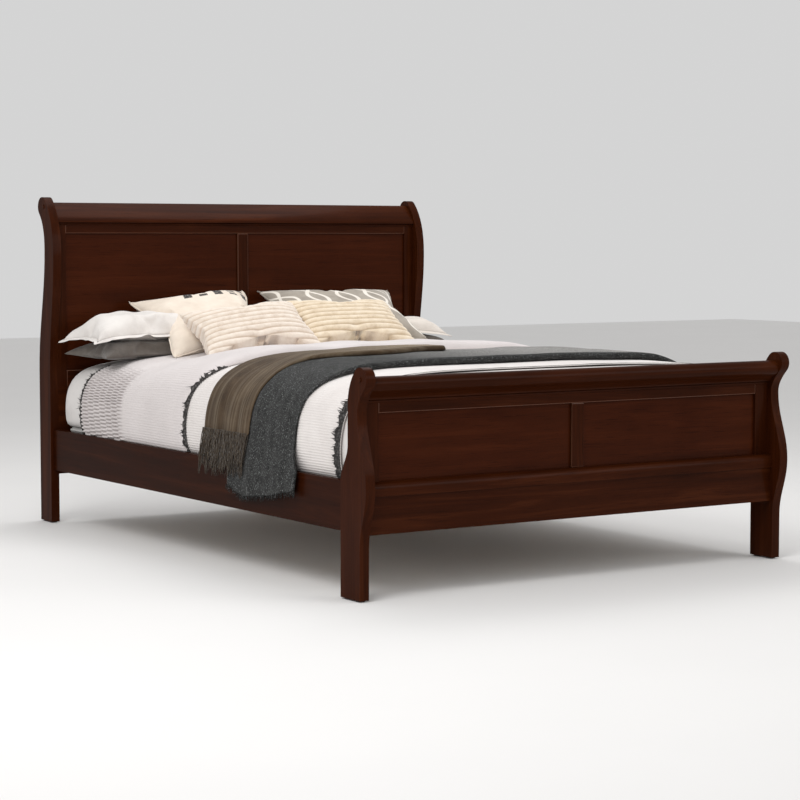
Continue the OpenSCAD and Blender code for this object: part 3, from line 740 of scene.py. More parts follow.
coverletRuffle = ruffleStrip("coverletRuffle", ruffleRuns, coverletFoot,
                             lambda run: coverletOut(run, coverletFoot(run)), 1, 0.015, 21,
                             1.4)
print("coverlet laid")


# duvet over the head half: lofty, smocked towards the head on its sides

duvetMake = {
    "hem": [(-0.80, 0.024), (-0.765, 0.012), (-0.70, -0.03), (-0.50, -0.075), (-0.30, -0.07),
            (0.0, -0.055), (0.5, -0.03), (0.80, 0.0)],
    "headEdge": 0.812,
    "gap": 0.0032,
    "loftTop": 0.0330,
    "loftBack": 0.0115,
    "loftSide": 0.0105,
    "roll": 0.028,
    "smockFrom": 0.46,
    "smockPitch": 0.0125,
    "smockDepth": 0.0052,
    "smockRow": 0.047,
    "ribPitch": 0.0085,
    "ribDepth": 0.0009,
}


def tintBy(mat, attribute, tone, amountOf):
    # mixes a tone into a finished material where a piece's own attribute says so
    tree = mat.node_tree
    shader = next(n for n in tree.nodes if n.type == "BSDF_PRINCIPLED")
    was = shader.inputs["Base Color"].links[0].from_socket
    mark = tree.nodes.new("ShaderNodeAttribute")
    mark.attribute_name = attribute
    amount = amountOf(tree, mark.outputs["Fac"])
    tree.links.new(mixColour(tree, amount, was, tone), shader.inputs["Base Color"])


# painted shade: darkens a material where a piece's groove attribute marks the hollows
def shadeGrooves(mat, tone, share):
    tintBy(mat, "groove", tone, lambda tree, mark: maths(tree, "MULTIPLY", mark, share))


shadeGrooves(duvetCloth, (0.33, 0.29, 0.28), 0.6)


def duvetHem(run):
    x = onBed(run, 0.0)[0]
    hem = duvetMake["hem"]
    return np.interp(x, [p[0] for p in hem], [p[1] for p in hem])


def onSide(run):
    # 0 on top of the bed, 1 on its sides
    return np.clip((np.abs(run) - 0.66) / 0.08, 0, 1)


def smockRow(run, y):
    # rows of gathers, counted toward the head, each a little wavy
    return (y + 0.012 * np.sin(run * 25)) / duvetMake["smockRow"]


def gatherWave(run, y):
    return np.sin(2 * math.pi * run / duvetMake["smockPitch"] + 2.4 * np.floor(smockRow(run, y)))


def smockShare(y):
    return np.clip((y - duvetMake["smockFrom"]) / 0.05, 0, 1)


def duvetLoft(run, y):
    top = 1 - np.clip((np.abs(run) - 0.50) / 0.22, 0, 1)
    back = np.clip((y - 0.12) / 0.22, 0, 1)
    onTop = duvetMake["loftTop"] * (1 - back) + duvetMake["loftBack"] * back
    loft = duvetMake["loftSide"] * (1 - top) + onTop * top
    loft = loft * (1 + 0.12 * noiseField(run, y, 7, 8, 31) + 0.10 * noiseField(run, y, 19, 12, 33) * top)
    hemRound = edgeRound(y - duvetHem(run), duvetMake["roll"])
    headRound = edgeRound(duvetMake["headEdge"] - y, 0.02)
    lowRound = edgeRound(sideRun - 0.012 - np.abs(run), 0.015)
    side = onSide(run)
    smock = smockShare(y) * side
    stitch = np.abs(np.sin(math.pi * smockRow(run, y))) ** 0.35
    gather = gatherWave(run, y)
    ribs = duvetMake["ribDepth"] * np.sin(2 * math.pi * run / duvetMake["ribPitch"]) * side * (1 - smock)
    rough = smock * (duvetMake["smockDepth"] * gather * stitch - 0.0012 * (1 - stitch))
    return (loft + ribs + rough) * hemRound * headRound * lowRound


def duvetPiece(make):
    runs = sideColumns(0.0024, 0.018)
    runs = runs[np.abs(runs) < sideRun - 0.012]
    hem = duvetHem(runs)
    head = np.full_like(runs, make["headEdge"])
    shares = np.concatenate([np.array([0, 0.002, 0.006, 0.012, 0.02, 0.03]), np.linspace(0.045, 0.5, 26)[:-1],
                             np.linspace(0.5, 0.975, 62), np.array([0.982, 0.988, 0.993, 0.997, 1.0])])
    ys = hem[None, :] + (head - hem)[None, :] * shares[:, None]
    runGrid = np.broadcast_to(runs, ys.shape)
    top = make["gap"] + duvetLoft(runGrid, ys)
    x, z = onBed(runGrid, top)
    outer = np.stack([x, ys, z], 2)
    back = ys[::-1][::4]
    runBack = np.broadcast_to(runs, back.shape)
    x, z = onBed(runBack, np.full(back.shape, make["gap"] - 0.0006))
    inner = np.stack([x, back, z], 2)
    piece = gridPiece("loftyDuvet", np.concatenate([outer, inner]), loopRows=True)
    closeEnds(piece)
    # painted shade in the hollows of the smocked gathers
    shaded = np.clip(-gatherWave(runGrid, ys) * 1.6, 0, 1) * smockShare(ys) * onSide(runGrid)
    groove = piece.data.attributes.new("groove", "FLOAT", "POINT")
    values = np.zeros(len(piece.data.vertices), np.float32)
    values[:shaded.size] = shaded.ravel()
    groove.data.foreach_set("value", values)
    dress(piece, duvetCloth)
    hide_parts("duvet")
    return piece


duvetPiece(duvetMake)
sideTrim = trimRuns[trimRuns < -0.66]
for tag, runs in (("Left", sideTrim), ("Right", -sideTrim[::-1])):
    ruffleStrip("duvetHemRuffle" + tag, runs, lambda r: duvetHem(r) - 0.004, lambda r: np.full_like(r, 0.004),
                0.75, 0.0125, 41, 0.7)
    ruffleStrip("duvetHeadRuffle" + tag, runs, lambda r: np.full_like(r, duvetMake["headEdge"] + 0.001),
                lambda r: np.full_like(r, 0.002), 0.7, 0.012, 51, 0.8)
print("duvet laid")


# throws: each folded in two, laid across the bed and hung over the left rail

throwShape = {
    # out from the coverlet's side and up from the rail's top
    "overRail": [(-0.0275, 0.06), (-0.0335, 0.03), (-0.0395, 0.0), (-0.0425, -0.035), (-0.0430, -0.075)],
    "leaves": 0.43,       # height at which a throw leaves the bedding's side
    "step": 0.009,
}


def throwPath(rightRun, hemHeight, out):
    # from the far end over the bed to the hem outside the left rail, as [x, z] points
    runs = np.arange(rightRun, runAtHeight(throwShape["leaves"]), -throwShape["step"])
    x, z = onBed(runs, np.full_like(runs, out))
    railTop = railHigh.z
    hang = [(coverletLow.x + a - out * 0.8, railTop + b) for a, b in throwShape["overRail"]]
    hemX = np.interp(hemHeight, [p[1] for p in hang[::-1]], [p[0] for p in hang[::-1]])
    hang = [p for p in hang if p[1] > hemHeight + 0.01] + [(hemX, hemHeight)]
    tail = smoothLine([(x[-2], z[-2]), (x[-1], z[-1])] + hang, 10)[10:]
    return resample(np.vstack([np.stack([x, z], 1), tail]), throwShape["step"])


def foldedThrow(name, path, lowEdge, highEdge, thickness, settings, seed):
    # one sheet folded in two along its foot side; lowEdge and highEdge give y along the path
    run = np.concatenate([[0], np.cumsum(np.linalg.norm(np.diff(path, axis=0), axis=1))])
    share = run / run[-1]
    normal = -lineNormals(path)
    normal *= np.sign((normal * (path - [0, 0.3])).sum(1).mean())
    fold = np.linspace(-math.pi / 2, math.pi / 2, 9)
    across = np.linspace(1, 0, 30)
    columns = [("low", w) for w in across[:-1]] + [("fold", a) for a in fold]
    columns += [("top", w) for w in across[::-1][1:]]
    grid = np.zeros((len(path), len(columns), 3))
    yLow, yHigh, thick = lowEdge(path, share), highEdge(path, share), thickness(path, share)
    for j, (kind, w) in enumerate(columns):
        half = thick / 2
        if kind == "fold":
            y = yLow + half - half * np.cos(w)
            out = half + half * np.sin(w)
            flat = np.zeros_like(y)
        else:
            y = yLow + half + (yHigh - yLow - half) * w
            out = np.zeros_like(y) if kind == "low" else thick
            flat = np.full_like(y, w)
        lift = settings["ripple"] * noiseField(run, y, 16, 34, seed) * np.clip(thick / 0.006, 0.3, 1)
        sideWeight = np.clip((run - settings["sideFrom"]) / 0.15, 0, 1)
        lift = lift + settings["pleat"] * sideWeight * noiseField(run * 0.25, y, 8, 75, seed + 3)
        if kind == "top":
            slack = settings["slack"] * (noiseField(run, y, 22, 40, seed + 7) + 0.4)
            lift = lift + slack * np.clip(thick / 0.01, 0, 1)
        out = out + np.maximum(lift, -0.0012) + 0.0008 + settings["over"](path, y)
        grid[:, j, 0] = path[:, 0] + normal[:, 0] * out
        grid[:, j, 1] = y + settings["sway"] * sideWeight * np.sin(run * 13 + flat * 2 + seed)
        grid[:, j, 2] = path[:, 1] + normal[:, 1] * out
    low = np.clip((0.40 - grid[:, :, 2]) / 0.12, 0, 1)
    grid[:, :, 2] += low * np.interp(grid[:, :, 1], settings["hemY"], settings["hemRise"])
    piece = gridPiece(name, grid)
    # painted light on the top layer, growing across the bed from the given start
    upper = np.array([kind == "top" for kind, w in columns], float)
    paintedLightShare = upper[None, :] * np.clip((path[:, 0] - settings["paintedLightFrom"]) / 0.6, 0, 1)[:, None]
    pale = piece.data.attributes.new("paleSide", "FLOAT", "POINT")
    pale.data.foreach_set("value", paintedLightShare.astype(np.float32).ravel())
    addModifier(piece, "SOLIDIFY", thickness=settings["cloth"], offset=0)
    addModifier(piece, "SUBSURF", levels=1, render_levels=1)
    width = float(np.mean(yHigh - yLow)) * 2
    return piece, (width, float(run[-1])), grid


def restsFlat(path, y):
    return 0 * y


def restsOnGrey(path, y):
    # extra height where the brown throw crosses the grey one
    crossing = np.clip((-0.275 - y) / 0.045, 0, 1)
    top = 1 - np.clip((np.abs(path[:, 0]) - 0.58) / 0.15, 0, 1)
    return crossing ** 2 * (3 - 2 * crossing) * (0.0020 + 0.0140 * top)


greyThrowMake = {"ripple": 0.0016, "pleat": 0.0034, "slack": 0.0016, "sway": 0.003, "cloth": 0.0022,
                 "sideFrom": 1.45, "over": restsFlat, "paintedLightFrom": -0.42,
                 "hemY": [-0.74, -0.70, -0.567, -0.416, -0.365, -0.31],
                 "hemRise": [0.026, 0.020, -0.004, -0.022, -0.010, 0.008]}


def greyLow(path, share):
    left = np.clip((-path[:, 0] - 0.60) / 0.15, 0, 1)
    y = -0.735 * (1 - left) - 0.702 * left
    below = np.clip((0.42 - path[:, 1]) / 0.09, 0, 1) * left
    return y - 0.036 * below ** 1.5 * (1 - np.clip((0.33 - path[:, 1]) / 0.07, 0, 1) * 0.4)


def greyHigh(path, share):
    return np.full(len(path), -0.318)


def greyThick(path, share):
    top = 1 - np.clip((np.abs(path[:, 0]) - 0.58) / 0.15, 0, 1)
    return (0.0045 + 0.0150 * top) * (0.25 + 0.75 * edgeRound(share * 3.0, 0.02))


def paintLightOnUpper(mat, tone, share):
    # painted light: the upper side made lighter where light falls on it, speckled by a heather noise
    def speckledLight(tree, mark):
        heather = noiseAt(tree, placedAt(tree, (1, 1, 1)), 300, 2.0, 0.8)
        amount = maths(tree, "MULTIPLY", mark, maths(tree, "MULTIPLY_ADD", heather, 3.2, share - 1.6))
        return maths(tree, "MINIMUM", maths(tree, "MAXIMUM", amount, 0), 1)
    tintBy(mat, "paleSide", tone, speckledLight)


greyPath = throwPath(abs(runAtHeight(0.515)), 0.262, 0.0042)
greyThrow, greyFlat, greyGrid = foldedThrow("greyWoolThrow", greyPath, greyLow, greyHigh, greyThick,
                                            greyThrowMake, 5)
# painted light on the upper sides of both throws
paintLightOnUpper(greyWool, (0.46, 0.445, 0.425), 0.50)
paintLightOnUpper(brownWool, (0.34, 0.27, 0.185), 0.62)
dress(greyThrow, greyWool)
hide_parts("throw_grey")

brownThrowMake = {"ripple": 0.0014, "pleat": 0.0030, "slack": 0.0018, "sway": 0.002, "cloth": 0.0020,
                  "sideFrom": 0.75, "over": restsOnGrey, "paintedLightFrom": -0.62, "hemY": [0, 1], "hemRise": [0, 0]}


def brownLow(path, share):
    onTop = np.clip(1 - ((path[:, 0] + 0.38) / 0.30) ** 2, 0, 1)
    return -0.428 - 0.055 * onTop ** 2 + 0.018 * np.clip((0.02 - share) / 0.02, 0, 1)


def brownHigh(path, share):
    return -0.132 - 0.02 * np.clip((0.03 - share) / 0.03, 0, 1) ** 2


def brownThick(path, share):
    top = 1 - np.clip((np.abs(path[:, 0]) - 0.50) / 0.2, 0, 1)
    nose = edgeRound(share * 1.1, 0.012)
    return (0.004 + 0.0115 * top) * (0.12 + 0.88 * nose)


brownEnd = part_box("throw_brown")[1].x - 0.085
brownPath = throwPath(brownEnd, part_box("throw_brown")[0].z, 0.0105)
brownThrow, brownFlat, brownGrid = foldedThrow("brownWoolThrow", brownPath, brownLow, brownHigh, brownThick,
                                               brownThrowMake, 9)
dress(brownThrow, brownWool)
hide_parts("throw_brown")
print("throws laid")

fringeMake = {"pitch": 0.0030, "long": (0.085, 0.150), "thick": 0.0017, "swing": 0.007, "seed": 3}


def hangingStrands(name, roots, make, drift, material):
    # roots is a list of (x, y, z); strands hang down, wander and taper
    dice = random.Random(make["seed"])
    points, faces, start = [], [], 0
    for x, y, z in roots:
        long = dice.uniform(*make["long"])
        steps = max(5, int(long / 0.008))
        t = np.linspace(0, 1, steps)
        phase, beat = dice.uniform(0, 6.3), dice.uniform(1.5, 4.5)
        swing = make["swing"] * dice.uniform(0.3, 1.4)
        lean = dice.uniform(-0.09, 0.09)
        outFrom = dice.uniform(-0.0006, 0.0042)
        px = x + drift(z - t * long) - outFrom
        py = y + lean * long * t + swing * np.sin(beat * t * 3 + phase) * t
        pz = z + 0.004 - t * long
        px = px - 0.0012 * np.sin(beat * 5 * t + phase)
        taper = np.clip(1.15 - 0.5 * t, 0.2, 2) * (1 + 0.22 * np.sin(t * long * 700 + phase))
        taper[-1] *= 0.3
        p, f = tubeAlong(np.stack([px, py, pz], 1), make["thick"], 5, taper=taper)
        points.append(p)
        faces += [tuple(k + start for k in face) for face in f]
        start += len(p)
    piece = linkPiece(name, meshOf(name, np.vstack(points), faces))
    dress(piece, material)
    return piece


hemLine = brownGrid[-1]
hemX = float(hemLine[:, 0].mean())
hemZ = float(hemLine[:, 2].min())
dice = random.Random(12)
strandRoots = []
for y in np.arange(hemLine[:, 1].min() + 0.003, hemLine[:, 1].max(), fringeMake["pitch"]):
    for layer in range(2):
        strandRoots.append((hemX + 0.001 - 0.002 * layer, y + dice.uniform(-0.002, 0.002), hemZ + 0.004))


def fringeDrift(z):
    # strands follow the bulge, then hang outside the rail
    railTop = railHigh.z
    heights = [railTop - 0.08, railTop, railTop + 0.03, railTop + 0.06, railTop + 0.09]
    away = [-0.0430, -0.0395, -0.0335, -0.0275, -0.0240]
    return np.interp(z, heights, away) - np.interp(hemZ, heights, away)


brownFringe = hangingStrands("brownThrowFringe", strandRoots, fringeMake, fringeDrift, fringeWool)
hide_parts("throw_fringe")

frayMake = {"long": (0.006, 0.022), "thick": 0.0007, "swing": 0.004, "seed": 8}
frayRoots = []
for point in greyGrid[-1]:
    for k in range(4):
        frayRoots.append((point[0] - 0.0006 * k, point[1] + dice.uniform(-0.007, 0.007), point[2] - 0.002))
for i in range(len(greyPath) - 26, len(greyPath)):
    edge = greyGrid[i, :, 1].argmin()
    for k in range(3):
        frayRoots.append(tuple(greyGrid[i, edge] + [dice.uniform(-0.001, 0.001), -0.001, 0.004]))
greyFray = hangingStrands("greyThrowFray", frayRoots, frayMake, lambda z: 0 * z, greyWool)
print("fringe and fray hung")


# pillows and cushions: two skins on one outline, blown up by a cloth simulation

def padForm(name, width, length, thick, step, pinch=0.045, power=2.4, start=1.0):
    cols, rows = max(8, int(width / step)), max(8, int(length / step))
    u = np.linspace(-1, 1, cols)
    v = np.linspace(-1, 1, rows)
    uu, vv = np.meshgrid(u, v)
    x = uu * width / 2 * (1 - pinch * (1 - vv ** 2) * uu ** 2)
    y = vv * length / 2 * (1 - pinch * 1.2 * (1 - uu ** 2) * vv ** 2)
    h = thick / 2 * start * np.sqrt(np.clip((1 - np.abs(uu) ** power) * (1 - np.abs(vv) ** power), 0, 1))
    top = np.stack([x, y, h], 2).reshape(-1, 3)
    inner = np.array([i * cols + j for i in range(1, rows - 1) for j in range(1, cols - 1)])
    under = top[inner] * [1, 1, -1]
    twin = np.arange(rows * cols)
    twin[inner] = rows * cols + np.arange(len(inner))
    topFaces = gridFaces(rows, cols)
    lowFaces = [tuple(int(twin[k]) for k in f[::-1]) for f in topFaces]
    mesh = meshOf(name, np.vstack([top, under]), topFaces + lowFaces)
    layer = mesh.uv_layers.new(name="cloth")
    flat = np.vstack([np.stack([x, y], 2).reshape(-1, 2), np.stack([x, y], 2).reshape(-1, 2)[inner]])
    corner = np.zeros(len(mesh.loops), np.int32)
    mesh.loops.foreach_get("vertex_index", corner)
    layer.data.foreach_set("uv", flat[corner].astype(np.float32).ravel())
    facing = mesh.attributes.new("frontSkin", "FLOAT", "POINT")
    values = np.ones(len(mesh.vertices), np.float32)
    values[rows * cols:] = 0
    facing.data.foreach_set("value", values)
    return linkPiece(name, mesh), rows, cols


def coordsOf(mesh):
    co = np.zeros(len(mesh.vertices) * 3, np.float32)
    mesh.vertices.foreach_get("co", co)
    return co.reshape(-1, 3).astype(float)


def setCoords(mesh, points):
    mesh.vertices.foreach_set("co", np.asarray(points, np.float32).ravel())
    mesh.update()


def inflate(piece, make):
    # pressure only; the result is read back and the modifier removed
    cloth = piece.modifiers.new("Cloth", "CLOTH")
    cloth.settings.quality = 5
    cloth.settings.mass = 0.25
    cloth.settings.tension_stiffness = make.get("stiff", 14)
    cloth.settings.compression_stiffness = make.get("stiff", 14)
    cloth.settings.shear_stiffness = make.get("stiff", 14) * 0.4
    cloth.settings.bending_stiffness = make.get("bend", 0.05)
    cloth.settings.use_pressure = True
    cloth.settings.uniform_pressure_force = make.get("pressure", 6)
    cloth.settings.effector_weights.gravity = 0
    cloth.settings.air_damping = 2
    cloth.collision_settings.use_collision = False
    cloth.collision_settings.use_self_collision = False
    cloth.point_cache.frame_start = 1
    cloth.point_cache.frame_end = make.get("frames", 24)
    before = coordsOf(piece.data)
    for frameNumber in range(1, make.get("frames", 24) + 1):
        scene.frame_set(frameNumber)
    graph = bpy.context.evaluated_depsgraph_get()
    shaped = piece.evaluated_get(graph)
    after = coordsOf(shaped.data)
    piece.modifiers.remove(cloth)
    scene.frame_set(1)
    move = after - before
    far = np.linalg.norm(move, axis=1)
    cap = make.get("cap", 0.06)
    after = before + move * np.minimum(1, cap / np.maximum(far, 1e-9))[:, None]
    setCoords(piece.data, after)


def fitTo(piece, width, length, thick):
    if piece.modifiers:
        settled(piece, 0)
    points = coordsOf(piece.data)
    low, high = points.min(0), points.max(0)
    points = (points - (low + high) / 2) / (high - low) * [width, length, thick]
    setCoords(piece.data, points)


def settled(piece, levels=1):
    # bakes a subdivision into the mesh
    if levels:
        addModifier(piece, "SUBSURF", levels=levels, render_levels=levels)
    graph = bpy.context.evaluated_depsgraph_get()
    baked = bpy.data.meshes.new_from_object(piece.evaluated_get(graph), preserve_all_data_layers=True,
                                            depsgraph=graph)
    piece.modifiers.clear()
    piece.data = baked
    baked.shade_smooth()


def vertexNormals(mesh):
    normals = np.zeros(len(mesh.vertices) * 3, np.float32)
    mesh.vertex_normals.foreach_get("vector", normals)
    return normals.reshape(-1, 3).astype(float)


def padRim(rows, cols):
    # the seam's points on a pad's first grid
    loop = list(range(cols)) + [i * cols + cols - 1 for i in range(1, rows)]
    loop += [(rows - 1) * cols + j for j in range(cols - 2, -1, -1)]
    return loop + [i * cols for i in range(rows - 2, 0, -1)]


def pipingOn(name, piece, rows, cols, radius, material, body):
    # a welt round the seam of a pad that is still on its first grid
    points = coordsOf(piece.data)
    loop = padRim(rows, cols)
    path = points[loop]
    welt = linkPiece(name, meshOf(name, *tubeAlong(path, radius, 6, closed=True)))
    welt.matrix_world = piece.matrix_world
    return dress(welt, material, body)


def placeLeaning(piece, nodeName, turn, lean):
    # stands a cushion in its solid's box, leaning back: turn and lean in degrees, lean from upright
    matrix = Matrix.Rotation(math.radians(turn), 4, "Z") @ Matrix.Rotation(math.radians(90 - lean), 4, "X")
    points = coordsOf(piece.data) @ np.array(matrix.to_3x3()).T
    low, high = points.min(0), points.max(0)
    boxLow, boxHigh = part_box(nodeName)
    aim = np.array([(boxLow.x + boxHigh.x) / 2, (boxLow.y + boxHigh.y) / 2, (boxLow.z + boxHigh.z) / 2])
    points = points + aim - (low + high) / 2
    setCoords(piece.data, points)


backLean, frontLean, cushionTurn = 66, 60, -4

lumbarMake = {"width": 0.452, "length": 0.300, "thick": 0.098, "step": 0.0085, "flutes": 11, "depth": 0.0085,
              "pressure": 7, "frames": 22, "cap": 0.05}


def lumbarCushion(name, nodeName, material, seed, make, shift=0.0):
    piece = padForm(name, make["width"], make["length"], make["thick"] * 0.6, make["step"], 0.025, 2.8)[0]
    inflate(piece, make)
    addModifier(piece, "SMOOTH", factor=0.5, iterations=10)
    fitTo(piece, make["width"], make["length"], make["thick"])
    settled(piece, 2)
    mesh = piece.data
    points = coordsOf(mesh)
    across = np.clip(np.abs(points[:, 0]) / (make["width"] / 2), 0, 1) ** 3
    along = np.clip(np.abs(points[:, 1]) / (make["length"] / 2), 0, 1) ** 3
    full = make["thick"] / 2 * np.sqrt((1 - across) * (1 - along)) * np.sign(points[:, 2])
    points[:, 2] = 0.35 * points[:, 2] + 0.65 * full
    setCoords(mesh, points)
    points, normals = coordsOf(mesh), vertexNormals(mesh)
    v = (points[:, 1] / make["length"] + 0.5) * make["flutes"]
    sag = 0.10 * np.sin(points[:, 0] * 9 + seed)
    wave = np.abs(np.sin(math.pi * (v + sag)))
    # painted shade in the hollows between the flutes
    groove = mesh.attributes.new("groove", "FLOAT", "POINT")
    groove.data.foreach_set("value", (1 - np.clip(wave * 1.5, 0, 1)).astype(np.float32))
    ends = edgeRound(make["width"] / 2 - np.abs(points[:, 0]), 0.05)
    tuft = 0.0005 * noiseField(points[:, 0], points[:, 1], 160, 120, seed) * wave
    points += normals * ((make["depth"] * (wave ** 0.7 - 0.7) * ends + tuft)[:, None])
    setCoords(mesh, points)
    placeLeaning(piece, nodeName, cushionTurn, frontLean)
    setCoords(mesh, coordsOf(mesh) + [shift, 0, 0])
    dress(piece, material, nodeName)
    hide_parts(nodeName)
    return piece


# painted shade for the flutes' hollows on both cushions
shadeGrooves(lumbarCream, (0.50, 0.36, 0.25), 0.55)
shadeGrooves(lumbarButter, (0.46, 0.33, 0.19), 0.6)
lumbarCushion("flutedCushionLeft", "lumbar_left", lumbarCream, 1.0, lumbarMake)
lumbarCushion("flutedCushionRight", "lumbar_right", lumbarButter, 2.6, lumbarMake, -0.030)
print("fluted cushions made")


def insideOf(tree, value, low, high):
    # 1 between two limits and 0 outside them
    above = maths(tree, "GREATER_THAN", value, low)
    return maths(tree, "MULTIPLY", above, maths(tree, "LESS_THAN", value, high))


def printedCloth(name):
    # cream canvas with two rows of plain black blocks in place of words
    mat, tree, shader = newMaterial(name)
    spot = placedAt(tree, (1, 1, 1), "UV")
    split = tree.nodes.new("ShaderNodeSeparateXYZ")
    tree.links.new(spot, split.inputs[0])
    u, v = split.outputs[0], split.outputs[1]
    mask = None
    rows = ((0.160, 0.200, -0.10, 0.19, 0.046, 0.1), (0.096, 0.146, -0.075, 0.20, 0.056, -0.08))
    for vFrom, vTo, uFrom, uTo, pitch, lean in rows:
        slanted = maths(tree, "MULTIPLY_ADD", v, lean, u)
        count = maths(tree, "DIVIDE", maths(tree, "SUBTRACT", slanted, uFrom), pitch)
        cell = maths(tree, "FRACT", count)
        odd = maths(tree, "GREATER_THAN", maths(tree, "FRACT", maths(tree, "MULTIPLY", count, 0.5)), 0.5)
        block = maths(tree, "LESS_THAN", maths(tree, "ABSOLUTE", maths(tree, "SUBTRACT", cell, 0.4)), 0.27)
        middle = maths(tree, "ABSOLUTE", maths(tree, "SUBTRACT", v, (vFrom + vTo) / 2))
        gap = maths(tree, "MULTIPLY", odd, maths(tree, "LESS_THAN", middle, 0.006))
        marks = maths(tree, "MULTIPLY", block, maths(tree, "SUBTRACT", 1, gap))
        inRow = insideOf(tree, v, vFrom, vTo)
        inSpan = insideOf(tree, u, uFrom, uTo)
        rowMask = maths(tree, "MULTIPLY", marks, maths(tree, "MULTIPLY", inRow, inSpan))
        mask = rowMask if mask is None else maths(tree, "MAXIMUM", mask, rowMask)
    worn = noiseAt(tree, placedAt(tree, (1, 1, 1)), 420, 3.0, 0.6)
    mask = maths(tree, "MULTIPLY", mask, maths(tree, "LESS_THAN", worn, 0.62))
    front = tree.nodes.new("ShaderNodeAttribute")
    front.attribute_name = "frontSkin"
    mask = maths(tree, "MULTIPLY", mask, maths(tree, "GREATER_THAN", front.outputs["Fac"], 0.5))
    cloud = noiseAt(tree, placedAt(tree, (1, 1, 1)), 14, 5.0, 0.6)
    tones = [(0.3, (0.70, 0.60, 0.50)), (0.6, (0.80, 0.705, 0.60)), (0.8, (0.84, 0.75, 0.66))]
    cream = ramp(tree, cloud, tones)
    tree.links.new(mixColour(tree, mask, cream, (0.012, 0.011, 0.011)), shader.inputs["Base Color"])
    shader.inputs["Roughness"].default_value = 0.88
    shader.inputs["Specular IOR Level"].default_value = 0.2
    shader.inputs["Sheen Weight"].default_value = 0.2
    weave = noiseAt(tree, placedAt(tree, (1, 1, 1)), 520, 2.0, 0.6)
    addBump(tree, shader, [(weave, 0.5, 0.0006)])
    return mat


def trellisCloth(name):
    # taupe ground with a waved lattice of cream bands
    mat, tree, shader = newMaterial(name)
    spot = placedAt(tree, (1, 1, 1), "UV")
    split = tree.nodes.new("ShaderNodeSeparateXYZ")
    tree.links.new(spot, split.inputs[0])
    u, v = split.outputs[0], split.outputs[1]
    swing = maths(tree, "MULTIPLY", maths(tree, "SINE", maths(tree, "MULTIPLY", v, 2 * math.pi / 0.21)), 0.25)
    across = maths(tree, "DIVIDE", maths(tree, "MULTIPLY_ADD", v, 0.55, u), 0.118)
    lines = []
    for sign in (1, -1):
        moved = maths(tree, "FRACT", maths(tree, "MULTIPLY_ADD", swing, sign, across))
        lines.append(maths(tree, "ABSOLUTE", maths(tree, "SUBTRACT", moved, 0.5)))
    near = maths(tree, "MINIMUM", lines[0], lines[1])
    band = ramp(tree, near, [(0.055, (1, 1, 1)), (0.075, (0, 0, 0))])
    cloud = noiseAt(tree, placedAt(tree, (1, 1, 1)), 18, 5.0, 0.6)
    ground = ramp(tree, cloud, [(0.3, (0.27, 0.235, 0.195)), (0.7, (0.39, 0.345, 0.29))])
    cream = ramp(tree, cloud, [(0.3, (0.72, 0.66, 0.58)), (0.7, (0.82, 0.77, 0.70))])
    tree.links.new(mixColour(tree, band, ground, cream), shader.inputs["Base Color"])
    shader.inputs["Roughness"].default_value = 0.9
    shader.inputs["Specular IOR Level"].default_value = 0.2
    shader.inputs["Sheen Weight"].default_value = 0.25
    weave = noiseAt(tree, placedAt(tree, (1, 1, 1)), 430, 2.0, 0.6)
    addBump(tree, shader, [(weave, 0.5, 0.0007), (near, 0.3, 0.002)])
    return mat


squareMake = {
    "printed": {"width": 0.462, "length": 0.462, "thick": 0.112, "step": 0.0105, "pressure": 7, "frames": 22},
    "trellis": {"width": 0.575, "length": 0.450, "thick": 0.112, "step": 0.0115, "pressure": 7, "frames": 22},
}


def squareCushion(name, nodeName, material, make, shear=0.0):
    piece, rows, cols = padForm(name, make["width"], make["length"], make["thick"] * 0.6, make["step"],
                                0.035, 2.3)
    inflate(piece, make)
    fitTo(piece, make["width"], make["length"], make["thick"])
    points = coordsOf(piece.data)
    points[:, 0] += shear * (points[:, 1] / make["length"])
    setCoords(piece.data, points)
    placeLeaning(piece, nodeName, cushionTurn, backLean)
    pipingOn(name + "Welt", piece, rows, cols, 0.0028, material, "bed")
    settled(piece, 1)
    dress(piece, material)
    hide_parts(nodeName)


squareCushion("blockPrintCushion", "cushion_printed", printedCloth("blockPrintCanvas"),
              squareMake["printed"])
squareCushion("trellisCushion", "cushion_trellis", trellisCloth("trellisWeave"),
              squareMake["trellis"], 0.05)
print("square cushions made")

# size is the solid's width, length and thickness, and grow is what the made pillow adds to it
pillowMake = {
    "pillow_left_lower": {
        "name": "greyPillowLeft", "cloth": "grey", "size": (0.600, 0.380, 0.042),
        "grow": (-0.02, -0.02, 0.026), "flange": 0, "droop": 0.004, "seed": 3},
    "pillow_left": {
        "name": "whitePillowLeft", "cloth": "white", "size": (0.634, 0.384, 0.088),
        "grow": (-0.085, -0.05, 0.012), "flange": 0.020, "droop": 0.032, "seed": 5},
    "pillow_right_lower": {
        "name": "greyPillowRight", "cloth": "grey", "size": (0.600, 0.380, 0.031),
        "grow": (-0.06, -0.02, 0.004), "flange": 0, "droop": 0.004, "seed": 8},
    "pillow_right": {
        "name": "beigePillowRight", "cloth": "beige", "size": (0.650, 0.384, 0.066),
        "grow": (-0.075, -0.02, -0.006), "flange": 0.016, "droop": 0.032, "seed": 13},
}
pillowPile = {
    "seam": 0.24,         # share of the thickness under the seam
    "settle": 0.93,       # share of a lower pillow's thickness left under the upper one
    "toHead": 0.012,
    "inFromRight": 0.045,
    "cloth": {"pressure": 5, "frames": 20, "cap": 0.05, "bend": 0.02},
}
pillowSlots = {"grey": ("pillow_grey", greyPillowCloth), "white": ("pillow_cotton", whitePillowCloth),
               "beige": ("pillow_cotton", beigePillowCloth)}
pileTop = {}


